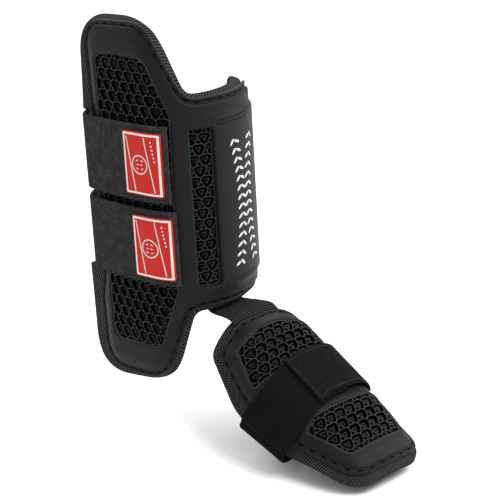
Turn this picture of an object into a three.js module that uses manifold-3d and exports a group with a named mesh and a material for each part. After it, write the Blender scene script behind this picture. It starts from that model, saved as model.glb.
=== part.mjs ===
// A batter's leg guard: a moulded shin guard with one long side wing, two calf straps,
// and a foot guard that hangs from its front edge on a piece of elastic webbing.
// Millimetres. +Z runs up the leg, the shin faces -Y and the wing lies on the -X side.
// The origin is on the axis of the leg, level with the middle of the front panel.
import * as THREE from 'three';
import Module from 'manifold-3d';

const wasm = await Module();
wasm.setup();
const { Manifold, Mesh } = wasm;

// Sheets are bent in flat strips of this width, so that neighbours stay parallel
const STRIP = 9;
const GAP = 0.3;
// A point this near a strip line counts as on it
const NEAR = 0.02;

// Cross-section of the leg: arcs that start at the front centre line
const FRONT = 62;
const WING_ARCS = [
  { radius: 43, turn: 29 },
  { radius: 33, turn: 56 },
  { radius: 380, turn: 60 },
];
const FAR_ARCS = [{ radius: 58, turn: 300 }];

// Cross-section of the foot guard: arcs that start at its crest line
const FOOT_ARCS = [
  { radius: 130, turn: 9 },
  { radius: 28, turn: 62 },
  { radius: 200, turn: 60 },
];
const FOOT_ORIGIN = new THREE.Vector3(5, -84, -87);
const FOOT_PITCH = 29.8;
const FOOT_TURN = -3;

// Layers, measured outwards from the back of the shell
const LINER = 9;
const SHELL = 4.5;
const PANEL = 6.5;
const LATTICE = 3.5;
const STRAP = 3;
const ELASTIC = 2.2;
const LABEL = 2;

// Padded edge of a liner: how far each level of it is drawn in
const PADDED_EDGE = [
  { level: -LINER - GAP, inset: 3 },
  { level: -LINER * 0.7 - GAP, inset: 0 },
  { level: -LINER * 0.3 - GAP, inset: 0 },
  { level: -GAP, inset: 3 },
];

// Moulded edge of a shell
const SHELL_EDGE = [
  { level: 0, inset: 0 },
  { level: SHELL - 1.5, inset: 0 },
  { level: SHELL, inset: 1.5 },
];
const PANEL_EDGE = [
  { level: 1, inset: 0 },
  { level: PANEL - 1.2, inset: 0 },
  { level: PANEL, inset: 1.2 },
];

// Outline of the shin shell, anticlockwise: a is round the leg, b is up it, r rounds the corner
const SHIN_SHEET = [
  { a: -55, b: -77, r: 14 },
  { a: 32, b: -76.7, r: 14 },
  { a: 53, b: -136.6, r: 34 },
  { a: 123.3, b: -139.7, r: 24 },
  { a: 124.5, b: -82, r: 24 },
  { a: 118.3, b: -57, r: 24 },
  { a: 112, b: 0, r: 150 },
  { a: 120.5, b: 133.5, r: 24 },
  { a: 53.5, b: 135, r: 26 },
  { a: 27, b: 80.3, r: 14 },
  { a: -55, b: 80.3, r: 14 },
];

// Outline of the padded liner behind it, notched where the calf straps turn round its back edge
const SHIN_LINER = [
  { a: -66, b: -82, r: 14 },
  { a: 29, b: -82, r: 12 },
  { a: 53, b: -139.5, r: 48 },
  { a: 144.5, b: -151, r: 34 },
  { a: 140, b: -60, r: 1.5 },
  { a: 119, b: -59.2, r: 1 },
  { a: 117, b: 0, r: 150 },
  { a: 118, b: 62.4, r: 1 },
  { a: 131.5, b: 62.6, r: 1 },
  { a: 132.5, b: 135.5, r: 35 },
  { a: 54, b: 137.5, r: 50 },
  { a: 25.5, b: 82, r: 12 },
  { a: -66, b: 82, r: 14 },
];

// Windows of the shin shell, and the raised panel at its front
const WING_WINDOW = [
  { a: 56, b: -110.5, r: 12 },
  { a: 108.5, b: -112, r: 8 },
  { a: 109.3, b: -62, r: 30 },
  { a: 105.5, b: 109, r: 8 },
  { a: 84, b: 111, r: 60 },
  { a: 54.5, b: 109.5, r: 12 },
  { a: 37.5, b: 69, r: 8 },
  { a: 40, b: -64, r: 8 },
];
const FRONT_WINDOW = [
  { a: 10, b: -60, r: 3 },
  { a: 27, b: -60, r: 3 },
  { a: 27, b: 59, r: 3 },
  { a: 10, b: 59, r: 3 },
];
const FRONT_PANEL = [
  { a: -47, b: -62, r: 5 },
  { a: 8.5, b: -62, r: 3 },
  { a: 8.5, b: 64, r: 3 },
  { a: -47, b: 64, r: 5 },
];

// Foot guard outlines: a is across the foot, b is along it from the ankle end; each is mirrored
const FOOT_LINER = [
  { a: 18, b: -8.5, r: 30 },
  { a: 52.5, b: 2, r: 14 },
  { a: 70, b: 45, r: 40 },
  { a: 67.5, b: 85, r: 60 },
  { a: 38, b: 156, r: 31 },
];
const FOOT_SHELL = [
  { a: 18, b: -1.8, r: 24 },
  { a: 46, b: 10.5, r: 12 },
  { a: 57, b: 55, r: 54 },
  { a: 50.5, b: 93, r: 54 },
  { a: 32, b: 152, r: 23 },
];
const FOOT_WINDOWS = [
  { name: 'upper', corners: [{ a: 10, b: 11, r: 12 }, { a: 34, b: 18.5, r: 5 }, { a: 44, b: 50, r: 4 }] },
  { name: 'lower', corners: [{ a: 26, b: 94, r: 6 }, { a: 36.5, b: 101, r: 4 }, { a: 25, b: 134, r: 6 }] },
];

// Lattice: one large cell for each point of a triangular grid, as far from its middle to a corner
const PITCH = 9.2;
const CELL_REACH = 4.6;

// Calf straps: height of the middle, place of the free end and of the label on it
const STRAP_WIDTH = 57;
const STRAP_DROP = 17;
const STRAP_BEND = 11;
const STRAP_LAP = -56;
const LABEL_SIZE = { round: 32, tall: 47, corner: 1.5 };
const CALF_STRAPS = [
  { name: 'upper', middle: 33.5, end: 39.5, label: 59 },
  { name: 'lower', middle: -29.5, end: 37, label: 55.5 },
];

// Webbing between shin and foot, and the strap round the foot
const WEBBING = { middle: -5, width: 44, thick: 2, top: -60, rim: -81, pad: -6, end: -3.4, pull: 7 };
const FOOT_STRAP = { width: 44, middle: 66.5, slant: 11, under: 32, lap: 9, tuck: 12 };
const FOOT_STRAP_EDGES = [{ side: -1, near: 65.5, far: 67 }, { side: 1, near: 58.5, far: 64 }];
const RIM_DROP = { before: 5.5, after: 3 };
const FOOT_TAB = { width: 42, start: -17, end: 46, thick: 2, drop: 2.2, dropFrom: 14 };

const COLOURS = {
  shell: '#35363a', liner: '#26272a', lattice: '#1c1d1f', strap: '#2b2c2f',
  elastic: '#1b1b1d', label: '#c23a33',
};

const rad = THREE.MathUtils.degToRad;

// Point and heading after a length along a chain of arcs that starts out along +x
function walk(arcs, length) {
  let x = 0;
  let y = 0;
  let heading = 0;
  let left = length;
  for (const arc of arcs) {
    const turn = Math.min(left / arc.radius, rad(arc.turn));
    x += arc.radius * (Math.sin(heading + turn) - Math.sin(heading));
    y += arc.radius * (Math.cos(heading) - Math.cos(heading + turn));
    heading += turn;
    left -= turn * arc.radius;
  }
  return { x, y, heading };
}

// Sheet coordinates of the shin: round the leg, up it, and out from it
function shinPoint(round, up, out) {
  const side = round < 0 ? 1 : -1;
  const at = walk(round < 0 ? FAR_ARCS : WING_ARCS, Math.abs(round));
  const x = side * (at.x + out * Math.sin(at.heading));
  return new THREE.Vector3(x, at.y - FRONT - out * Math.cos(at.heading), up);
}

// Axes of the foot guard: along the foot, across it, and out from its crest
const footAlong = new THREE.Vector3(
  Math.sin(rad(FOOT_TURN)) * Math.cos(rad(FOOT_PITCH)),
  -Math.cos(rad(FOOT_TURN)) * Math.cos(rad(FOOT_PITCH)),
  -Math.sin(rad(FOOT_PITCH)),
);
const footAcross = new THREE.Vector3(Math.cos(rad(FOOT_TURN)), Math.sin(rad(FOOT_TURN)), 0);
const footOut = new THREE.Vector3().crossVectors(footAlong, footAcross);

function footPlane(across, along, out) {
  return FOOT_ORIGIN.clone()
    .addScaledVector(footAlong, along)
    .addScaledVector(footAcross, across)
    .addScaledVector(footOut, out);
}

function footPoint(across, along, out) {
  const side = across < 0 ? -1 : 1;
  const at = walk(FOOT_ARCS, Math.abs(across));
  const x = side * (at.x + out * Math.sin(at.heading));
  return footPlane(x, along, out * Math.cos(at.heading) - at.y);
}

// The same surface made of flat strips
function inStrips(surface) {
  return (a, b, n) => {
    const low = Math.floor(a / STRIP) * STRIP;
    const start = surface(low, b, n);
    return start.lerp(surface(low + STRIP, b, n), (a - low) / STRIP);
  };
}
const onShin = inStrips(shinPoint);
const onFoot = inStrips(footPoint);

// Both halves of an outline that is given for one side, in order round it
function mirrored(corners) {
  const other = corners.map((c) => ({ ...c, a: -c.a })).reverse();
  return [...corners, ...other];
}

// Corners moved outwards by a distance, or inwards by a negative one
function grown(corners, distance) {
  const count = corners.length;
  return corners.map((c, i) => {
    const before = corners[(i + count - 1) % count];
    const after = corners[(i + 1) % count];
    const u = new THREE.Vector2(c.a - before.a, c.b - before.b).normalize();
    const v = new THREE.Vector2(after.a - c.a, after.b - c.b).normalize();
    const share = distance / (1 + u.dot(v));
    return {
      a: c.a + (u.y + v.y) * share,
      b: c.b - (u.x + v.x) * share,
      r: Math.max(c.r + distance * Math.sign(u.cross(v)), 0.4),
    };
  });
}

// Outline points of rounded corners, with a point wherever it crosses a strip line
function outline(corners) {
  const points = [];
  const count = corners.length;
  corners.forEach((c, i) => {
    const here = new THREE.Vector2(c.a, c.b);
    const before = corners[(i + count - 1) % count];
    const after = corners[(i + 1) % count];
    const u = new THREE.Vector2(before.a, before.b).sub(here).normalize();
    const v = new THREE.Vector2(after.a, after.b).sub(here).normalize();
    const half = Math.acos(THREE.MathUtils.clamp(u.dot(v), -1, 1)) / 2;
    const reach = c.r / Math.tan(half);
    const start = here.clone().addScaledVector(u, reach);
    const end = here.clone().addScaledVector(v, reach);
    const steps = Math.max(1, Math.round(c.r * (Math.PI - 2 * half) / STRIP));
    const curve = new THREE.QuadraticBezierCurve(start, here, end);
    points.push(...curve.getPoints(steps));
  });
  const crossed = [];
  points.forEach((p, i) => {
    const q = points[(i + 1) % points.length];
    crossed.push(p);
    const low = Math.min(p.x, q.x);
    const high = Math.max(p.x, q.x);
    const lines = [];
    for (let k = Math.ceil((low + NEAR) / STRIP); k * STRIP < high - NEAR; k += 1) lines.push(k * STRIP);
    if (q.x < p.x) lines.reverse();
    lines.forEach((x) => crossed.push(new THREE.Vector2(x, p.y + (q.y - p.y) * (x - p.x) / (q.x - p.x))));
  });
  return crossed;
}

function geometryOf(points, triangles) {
  const geometry = new THREE.BufferGeometry();
  const numbers = points.flatMap((p) => p.toArray());
  geometry.setAttribute('position', new THREE.Float32BufferAttribute(numbers, 3));
  const volume = triangles.reduce((sum, [i, j, k]) => (
    sum + points[i].dot(new THREE.Vector3().crossVectors(points[j], points[k]))), 0);
  geometry.setIndex(triangles.flatMap(([i, j, k]) => (volume < 0 ? [i, k, j] : [i, j, k])));
  return geometry;
}

// Share of the way round an outline at each of its points
function shares(ring) {
  const lengths = [0];
  ring.forEach((p, i) => lengths.push(lengths[i] + p.distanceTo(ring[(i + 1) % ring.length])));
  return lengths.map((length) => length / lengths[ring.length]);
}

// The pieces of a ring between two strip lines, each as indices into it
function stripPieces(ring, low, high) {
  const within = ring.map((p) => p.x > low - NEAR && p.x < high + NEAR);
  const start = within.indexOf(false);
  if (start < 0) return [ring.map((p, i) => i)];
  const chains = [];
  for (let k = 1; k <= ring.length; k += 1) {
    const i = (start + k) % ring.length;
    const before = (start + k - 1) % ring.length;
    if (within[i] && !within[before]) chains.push([]);
    if (within[i]) chains[chains.length - 1].push(i);
  }
  // Along a strip line the ends of chains bound the sheet two by two
  const follow = new Map();
  for (const line of [low, high]) {
    const ends = chains
      .flatMap((chain) => [
        { chain, at: ring[chain[0]] },
        { chain, at: ring[chain[chain.length - 1]], last: true },
      ])
      .filter(({ at }) => Math.abs(at.x - line) < NEAR)
      .sort((p, q) => p.at.y - q.at.y);
    for (let k = 0; k + 1 < ends.length; k += 2) {
      const [from, to] = ends[k].last ? [ends[k], ends[k + 1]] : [ends[k + 1], ends[k]];
      follow.set(from.chain, to.chain);
    }
  }
  const left = new Set(chains);
  const pieces = [];
  chains.forEach((chain) => {
    const piece = [];
    for (let at = chain; left.has(at); at = follow.get(at)) {
      left.delete(at);
      piece.push(...at);
    }
    if (piece.length > 2) pieces.push(piece);
  });
  return pieces;
}

// A bent plate between anticlockwise outlines at several levels, lowest first
function bentPlate(surface, levels) {
  const points = [];
  const triangles = [];
  const rings = levels.map(({ corners, level }) => {
    const ring = outline(corners);
    const first = points.length;
    ring.forEach((p) => points.push(surface(p.x, p.y, level)));
    return { ring, first };
  });
  const cap = ({ ring, first }, up) => {
    const low = Math.floor(Math.min(...ring.map((p) => p.x)) / STRIP);
    const high = Math.ceil(Math.max(...ring.map((p) => p.x)) / STRIP);
    for (let k = low; k < high; k += 1) {
      stripPieces(ring, k * STRIP, (k + 1) * STRIP).forEach((piece) => {
        const faces = THREE.ShapeUtils.triangulateShape(piece.map((i) => ring[i]), []);
        faces.forEach((face) => {
          const corners = face.map((i) => ring[piece[i]]);
          const turn = corners[1].clone().sub(corners[0]).cross(corners[2].clone().sub(corners[0]));
          const indices = face.map((i) => first + piece[i]);
          triangles.push((turn > 0) === up ? indices : indices.reverse());
        });
      });
    }
  };
  cap(rings[0], false);
  cap(rings[rings.length - 1], true);
  for (let level = 0; level + 1 < rings.length; level += 1) {
    const lower = rings[level];
    const upper = rings[level + 1];
    const lowerAt = shares(lower.ring);
    const upperAt = shares(upper.ring);
    let i = 0;
    let j = 0;
    while (i < lower.ring.length || j < upper.ring.length) {
      const a = lower.first + i % lower.ring.length;
      const b = upper.first + j % upper.ring.length;
      const lowerIsNext = i < lower.ring.length && lowerAt[i + 1] <= upperAt[j + 1];
      if (j === upper.ring.length || lowerIsNext) {
        i += 1;
        triangles.push([a, lower.first + i % lower.ring.length, b]);
      } else {
        j += 1;
        triangles.push([a, upper.first + j % upper.ring.length, b]);
      }
    }
  }
  return geometryOf(points, triangles);
}

// A plate of one outline with an edge profile
function edgedPlate(surface, corners, edge) {
  return bentPlate(surface, edge.map(({ level, inset }) => ({ corners: grown(corners, -inset), level })));
}

function straightPlate(surface, corners, levels) {
  return bentPlate(surface, levels.map((level) => ({ corners, level })));
}

// A plain prism between two levels, for cuts smaller than a strip
function prism(surface, corners, from, to) {
  const count = corners.length;
  const points = [from, to].flatMap((level) => corners.map((c) => surface(c.a, c.b, level)));
  const triangles = [];
  for (let i = 0; i < count; i += 1) {
    const j = (i + 1) % count;
    triangles.push([i, j, count + j], [i, count + j, count + i]);
    if (i > 0 && j > 0) triangles.push([0, j, i], [count, count + i, count + j]);
  }
  return geometryOf(points, triangles);
}

// The hole of a window, with a level at each face of the lattice that fills it
function windowHole(surface, corners) {
  return straightPlate(surface, corners, [-1, GAP, LATTICE, PANEL + 1]);
}

// A sheet of even thickness about a grid of points
function thickSheet(grid, thick) {
  const rows = grid.length;
  const columns = grid[0].length;
  const points = [];
  for (const side of [-1, 1]) {
    grid.forEach((row, i) => row.forEach((p, j) => {
      const along = grid[Math.min(i + 1, rows - 1)][j].clone().sub(grid[Math.max(i - 1, 0)][j]);
      const across = row[Math.min(j + 1, columns - 1)].clone().sub(row[Math.max(j - 1, 0)]);
      points.push(p.clone().addScaledVector(along.cross(across).normalize(), side * thick / 2));
    }));
  }
  const triangles = [];
  const quad = (a, b, c, d) => triangles.push([a, b, c], [a, c, d]);
  const under = (i, j) => i * columns + j;
  const over = (i, j) => rows * columns + i * columns + j;
  for (let i = 0; i + 1 < rows; i += 1) {
    for (let j = 0; j + 1 < columns; j += 1) {
      quad(over(i, j), over(i + 1, j), over(i + 1, j + 1), over(i, j + 1));
      quad(under(i, j), under(i, j + 1), under(i + 1, j + 1), under(i + 1, j));
    }
    quad(under(i, 0), under(i + 1, 0), over(i + 1, 0), over(i, 0));
    quad(over(i, columns - 1), over(i + 1, columns - 1), under(i + 1, columns - 1), under(i, columns - 1));
  }
  for (let j = 0; j + 1 < columns; j += 1) {
    quad(over(0, j), over(0, j + 1), under(0, j + 1), under(0, j));
    quad(under(rows - 1, j), under(rows - 1, j + 1), over(rows - 1, j + 1), over(rows - 1, j));
  }
  return geometryOf(points, triangles);
}

function solid(geometry) {
  return new Manifold(new Mesh({
    numProp: 3,
    vertProperties: new Float32Array(geometry.getAttribute('position').array),
    triVerts: new Uint32Array(geometry.getIndex().array),
  }));
}

function joined(geometries) {
  return geometries.map(solid).reduce((whole, piece) => whole.add(piece));
}

function geometryFrom(manifold) {
  const mesh = manifold.getMesh();
  const geometry = new THREE.BufferGeometry();
  geometry.setAttribute('position', new THREE.BufferAttribute(new Float32Array(mesh.vertProperties), 3));
  geometry.setIndex(new THREE.BufferAttribute(new Uint32Array(mesh.triVerts), 1));
  return geometry;
}

// Evenly spaced values from one end to the other, both included
function spaced(from, to, count) {
  return Array.from({ length: count + 1 }, (_, i) => from + (to - from) * i / count);
}

function inside(corners, a, b) {
  return corners.every((c, i) => {
    const d = corners[(i + 1) % corners.length];
    const cross = (d.a - c.a) * (b - c.b) - (d.b - c.b) * (a - c.a);
    return cross > 0;
  });
}

// One large cell: a triangle that points down the sheet, or up it where down is -1
function cellCorners(a, b, down) {
  return [-90, 30, 150].map((degrees) => ({
    a: a + CELL_REACH * Math.cos(rad(degrees)),
    b: b + CELL_REACH * Math.sin(rad(degrees)) * down,
  }));
}

// A lattice panel that fills a window, cut through by every whole cell outside the covered band
function latticePanel(surface, corners, covered, down) {
  const panel = grown(corners, -GAP);
  const frame = grown(panel, -1.2);
  const row = PITCH * Math.sqrt(3) / 2;
  const lowest = Math.min(...frame.map((c) => c.b));
  const highest = Math.max(...frame.map((c) => c.b));
  const first = Math.min(...frame.map((c) => c.a));
  const last = Math.max(...frame.map((c) => c.a));
  const cells = [];
  for (let j = 0; lowest + j * row < highest; j += 1) {
    const b = lowest + CELL_REACH + j * row;
    for (let a = first + CELL_REACH + (j % 2) * PITCH / 2; a < last; a += PITCH) {
      const cell = cellCorners(a, b, down);
      const whole = cell.every((c) => inside(frame, c.a, c.b));
      const hidden = b > covered.from && b < covered.to;
      if (whole && !hidden) cells.push(cell);
    }
  }
  let body = solid(straightPlate(surface, panel, [GAP, LATTICE]));
  cells.forEach((cell) => {
    body = body.subtract(solid(prism(surface, cell, -1, LATTICE + 1)));
  });
  return geometryFrom(body);
}

function shinShell() {
  const sheet = edgedPlate(onShin, SHIN_SHEET, SHELL_EDGE);
  const body = joined([sheet, edgedPlate(onShin, FRONT_PANEL, PANEL_EDGE)]);
  const windows = [WING_WINDOW, FRONT_WINDOW].map((corners) => windowHole(onShin, corners));
  return geometryFrom(body.subtract(joined(windows)));
}

function footShell() {
  const body = solid(edgedPlate(onFoot, mirrored(FOOT_SHELL), SHELL_EDGE));
  const windows = FOOT_WINDOWS.map(({ corners }) => windowHole(onFoot, mirrored(corners)));
  return geometryFrom(body.subtract(joined(windows)));
}

// Where a strap leaves the wing: the fillet there is tangent to the circle that goes round the calf
function strapFillet(out, ring) {
  const centreOf = (round) => shinPoint(round, 0, out - STRAP_BEND);
  const axis = new THREE.Vector3(0, FAR_ARCS[0].radius - FRONT, 0);
  let low = 90;
  let high = 140;
  for (let k = 0; k < 40; k += 1) {
    const middle = (low + high) / 2;
    if (centreOf(middle).distanceTo(axis) < ring - STRAP_BEND) low = middle;
    else high = middle;
  }
  return { round: low, centre: centreOf(low), axis };
}

// A calf strap: from its sewn end on the far rim, round the calf, over the wing to its free end
function calfStrap({ middle, end }) {
  const ringOut = GAP + STRAP / 2;
  const wingOut = SHELL + GAP + STRAP / 2;
  const ring = FAR_ARCS[0].radius + ringOut;
  const fillet = strapFillet(wingOut, ring);
  const leave = fillet.centre.clone().sub(fillet.axis);
  const farEnd = -FAR_ARCS[0].radius * (2 * Math.PI + Math.atan2(leave.x, -leave.y));
  const rows = [];
  const row = (p, share) => {
    const drop = STRAP_DROP * (1 - THREE.MathUtils.smoothstep(share, 0.1, 0.9));
    rows.push([-STRAP_WIDTH / 2, STRAP_WIDTH / 2].map((up) => (
      new THREE.Vector3(p.x, p.y, middle - drop + up))));
  };
  for (let round = STRAP_LAP; round > farEnd + 2; round -= STRIP) {
    row(onShin(round, 0, ringOut), (round - STRAP_LAP) / (farEnd - STRAP_LAP));
  }
  const wingAt = shinPoint(fillet.round, 0, wingOut).sub(fillet.centre);
  const from = Math.atan2(leave.y, leave.x);
  const to = Math.atan2(wingAt.y, wingAt.x);
  const turn = to < from ? to - from + 2 * Math.PI : to - from;
  spaced(0, turn, 4).forEach((angle) => {
    const p = new THREE.Vector3(Math.cos(from + angle), Math.sin(from + angle), 0);
    row(p.multiplyScalar(STRAP_BEND).add(fillet.centre), 1);
  });
  for (let k = Math.floor((fillet.round - 1) / STRIP); k * STRIP > end + 1; k -= 1) {
    row(onShin(k * STRIP, 0, wingOut), 1);
  }
  row(onShin(end, 0, wingOut), 1);
  return thickSheet(rows, STRAP);
}

function label({ middle, label: centre }) {
  const { round, tall, corner } = LABEL_SIZE;
  const corners = [[-1, -1], [1, -1], [1, 1], [-1, 1]].map(([i, j]) => (
    { a: centre + i * round / 2, b: middle + j * tall / 2, r: corner }));
  const under = SHELL + GAP + STRAP + GAP;
  return straightPlate(onShin, corners, [under, under + LABEL]);
}

// Webbing: sewn inside the shin, under its lower rim, and over the foot liner's rim to the foot shell
function webbing() {
  const half = WEBBING.thick / 2;
  const behind = -LINER - 2 * GAP - half;
  const across = spaced(-WEBBING.width / 2, WEBBING.width / 2, 6);
  const inShin = spaced(WEBBING.top, WEBBING.rim, 1).map((up) => (
    across.map((w) => shinPoint(WEBBING.middle - w, up, behind))));
  const onPad = spaced(WEBBING.pad, WEBBING.end, 1).map((along) => (
    across.map((w) => footPoint(w, along, half))));
  const bridge = across.map((w, j) => {
    const start = inShin[inShin.length - 1][j];
    const end = onPad[0][j];
    return new THREE.CubicBezierCurve3(
      start,
      start.clone().add(new THREE.Vector3(0, 0, -WEBBING.pull)),
      end.clone().addScaledVector(footAlong, -WEBBING.pull),
      end,
    );
  });
  const between = spaced(0, 1, 9).slice(1, -1).map((share) => bridge.map((curve) => curve.getPoint(share)));
  return thickSheet([...inShin, ...between, ...onPad], WEBBING.thick);
}

// Mid-line of one edge of the foot strap, seen along the foot: places across it and out of its plane.
// It turns round the rim at one place on the wing's side and at another on the far side.
function footStrapLine(nearTurn, farTurn) {
  const { under, lap, tuck } = FOOT_STRAP;
  const overShell = SHELL + GAP + ELASTIC / 2;
  const middle = -LINER / 2 - GAP;
  const strapOut = (across, turn) => (
    overShell - SHELL * THREE.MathUtils.smoothstep(
      Math.abs(across), turn - RIM_DROP.before, turn + RIM_DROP.after));
  const onPad = (across, out) => {
    const at = walk(FOOT_ARCS, Math.abs(across));
    const side = across < 0 ? -1 : 1;
    return { across: side * (at.x + out * Math.sin(at.heading)), out: out * Math.cos(at.heading) - at.y };
  };
  const rimAt = (turn) => {
    const turnRadius = strapOut(turn, turn) - middle;
    const centre = onPad(-turn, middle);
    const start = Math.PI / 2 + walk(FOOT_ARCS, turn).heading;
    return spaced(start, 1.5 * Math.PI - rad(under), 5).map((angle) => ({
      across: centre.across + turnRadius * Math.cos(angle),
      out: centre.out + turnRadius * Math.sin(angle),
    }));
  };
  const nearFrom = nearTurn - RIM_DROP.before;
  const farFrom = farTurn - RIM_DROP.before;
  const nearRim = rimAt(nearTurn);
  const farRim = rimAt(farTurn).map((p) => ({ across: -p.across, out: p.out })).reverse();
  const line = spaced(tuck, -nearFrom, 14).map((across) => onPad(across, strapOut(across, nearTurn)));
  line.push(onPad(-nearFrom - 2, strapOut(nearFrom + 2, nearTurn)));
  line.push(...nearRim);
  const from = nearRim[nearRim.length - 1];
  const to = farRim[0];
  const sole = (to.across - from.across) / 2 / Math.sin(rad(under));
  spaced(-under, under, 8).slice(1, -1).forEach((angle) => {
    const share = (Math.sin(rad(angle)) / Math.sin(rad(under)) + 1) / 2;
    const sag = sole * (Math.cos(rad(angle)) - Math.cos(rad(under)));
    line.push({
      across: THREE.MathUtils.lerp(from.across, to.across, share),
      out: THREE.MathUtils.lerp(from.out, to.out, share) - sag,
    });
  });
  line.push(...farRim);
  [farFrom + 2, farFrom, farTurn - lap].forEach((across) => {
    line.push(onPad(across, strapOut(across, farTurn)));
  });
  return line;
}

// How far along the foot the strap's middle lies: it slants towards the toe on the wing side
function strapAlong(across) {
  return FOOT_STRAP.middle + FOOT_STRAP.slant * THREE.MathUtils.smoothstep(-across, 0, 50);
}

function footStrap() {
  const edges = FOOT_STRAP_EDGES.map(({ side, near, far }) => {
    const shift = side * FOOT_STRAP.width / 2;
    return footStrapLine(near, far).map((p) => footPlane(p.across, strapAlong(p.across) + shift, p.out));
  });
  const rows = edges[0].map((p, i) => [p, edges[1][i]]);
  return thickSheet(rows, ELASTIC);
}

function footStrapTab() {
  const half = FOOT_TAB.width / 2;
  const base = SHELL + GAP + ELASTIC + GAP + FOOT_TAB.thick / 2;
  const rows = spaced(FOOT_TAB.start, FOOT_TAB.end, 9).map((across) => {
    const out = base - FOOT_TAB.drop * THREE.MathUtils.smoothstep(across, FOOT_TAB.dropFrom, FOOT_TAB.end);
    return [-half, half].map((along) => footPoint(across, strapAlong(across) + along, out));
  });
  return thickSheet(rows, FOOT_TAB.thick);
}

const guard = new THREE.Group();

function add(name, geometry, colour, roughness) {
  const material = new THREE.MeshStandardMaterial({ color: colour, roughness, metalness: 0 });
  const mesh = new THREE.Mesh(geometry, material);
  mesh.name = name;
  guard.add(mesh);
}

const strapsCover = { from: -64, to: 66 };
const nothing = { from: 0, to: 0 };
add('shin_liner', edgedPlate(onShin, SHIN_LINER, PADDED_EDGE), COLOURS.liner, 0.95);
add('shin_shell', shinShell(), COLOURS.shell, 0.6);
add('wing_lattice', latticePanel(onShin, WING_WINDOW, strapsCover, 1), COLOURS.lattice, 0.7);
add('front_lattice', latticePanel(onShin, FRONT_WINDOW, nothing, 1), COLOURS.lattice, 0.7);
CALF_STRAPS.forEach((strap) => {
  add(`calf_strap_${strap.name}`, calfStrap(strap), COLOURS.strap, 0.9);
  add(`label_${strap.name}`, label(strap), COLOURS.label, 0.5);
});
add('instep_webbing', webbing(), COLOURS.elastic, 0.9);
add('foot_liner', edgedPlate(onFoot, mirrored(FOOT_LINER), PADDED_EDGE), COLOURS.liner, 0.95);
add('foot_shell', footShell(), COLOURS.shell, 0.6);
FOOT_WINDOWS.forEach(({ name, corners }) => {
  add(`foot_lattice_${name}`, latticePanel(onFoot, mirrored(corners), nothing, -1), COLOURS.lattice, 0.7);
});
add('foot_strap', footStrap(), COLOURS.elastic, 0.9);
add('foot_strap_tab', footStrapTab(), COLOURS.strap, 0.9);

export default guard;
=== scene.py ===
"""A batter's leg guard: moulded shells over padded liners, lattice windows, straps and labels.

Sheets are drawn flat, in millimetres, as places round the leg (or across the foot), up the leg (or
along the foot) and out from the shell's back, and are then bent to the same curves as the solids.
"""
import math

import bpy
import numpy as np
from mathutils import Matrix, Vector
from mathutils.geometry import delaunay_2d_cdt


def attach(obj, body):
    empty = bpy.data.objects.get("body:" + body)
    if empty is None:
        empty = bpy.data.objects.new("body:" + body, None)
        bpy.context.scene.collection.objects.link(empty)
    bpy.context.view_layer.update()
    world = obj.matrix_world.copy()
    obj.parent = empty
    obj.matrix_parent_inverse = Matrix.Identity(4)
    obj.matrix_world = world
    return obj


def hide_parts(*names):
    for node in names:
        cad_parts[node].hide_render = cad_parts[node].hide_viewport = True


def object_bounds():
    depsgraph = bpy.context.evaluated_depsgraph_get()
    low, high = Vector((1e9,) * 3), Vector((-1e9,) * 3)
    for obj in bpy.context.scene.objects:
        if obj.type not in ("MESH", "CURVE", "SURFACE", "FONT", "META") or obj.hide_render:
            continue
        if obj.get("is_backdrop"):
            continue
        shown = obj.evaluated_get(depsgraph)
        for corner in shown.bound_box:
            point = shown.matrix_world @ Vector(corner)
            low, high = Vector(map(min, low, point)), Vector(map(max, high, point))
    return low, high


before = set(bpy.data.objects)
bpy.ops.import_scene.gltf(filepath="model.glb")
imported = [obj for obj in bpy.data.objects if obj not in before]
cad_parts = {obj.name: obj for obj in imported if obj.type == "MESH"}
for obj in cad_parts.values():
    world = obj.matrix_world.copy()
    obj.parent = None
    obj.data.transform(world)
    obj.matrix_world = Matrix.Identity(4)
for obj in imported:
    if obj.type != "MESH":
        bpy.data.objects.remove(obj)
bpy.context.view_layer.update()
MM = 0.001
SHARP = math.radians(50)  # edges that turn by more stay creased
ROOT = "root"
QUAD = ((-1, -1), (1, -1), (1, 1), (-1, 1))

# Spacings of points: on fine outlines, on those that distances are measured to, of the grids that fill
# faces, with the room that a grid leaves beside outlines as a share of its spacing, and on the liners'
# rims and the lattices' cells
FINE = 1.5
MEASURED = 1.0
SHIN_GRID = 2.4
FOOT_GRID = 2.0
LINER_GRID = 4.0
LATTICE_GRID = 6.0
LABEL_GRID = 3.0
GRID_CLEAR = 0.55
RIM_STEP = 1.6
BIG_STEP = 1.0
SMALL_STEP = 0.8

# Camera of the photograph, fitted in its 500 by 500 frame
VIEW_AZIMUTH = -45.0
VIEW_ELEVATION = 18.5
VIEW_ROLL = 3.2
VIEW_DISTANCE = 1.2
VIEW_TARGET = (0.042, -0.043, -0.053)
VIEW_LENS = 112.9
SENSOR = 36.0
VIEW_REACH = 20.0

# Studio: a floor, the sky's strength, and soft lights as (name, place, size, power, target)
FLOOR_REACH = 6.0
FLOOR_DROP = 0.004
SKY = 0.62
GUARD_MIDDLE = (0.0, -0.04, -0.02)
LIGHTS = [
    ("key", (0.1, -1.2, 1.4), 1.0, 33, GUARD_MIDDLE),
    ("side", (1.3, -0.7, 0.7), 0.8, 14, GUARD_MIDDLE),
    ("back", (-0.5, 1.4, 1.2), 1.0, 18, GUARD_MIDDLE),
    ("far floor", (2.4, 2.4, 2.2), 2.5, 80, (2.0, 2.0, 0.0)),
]

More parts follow.
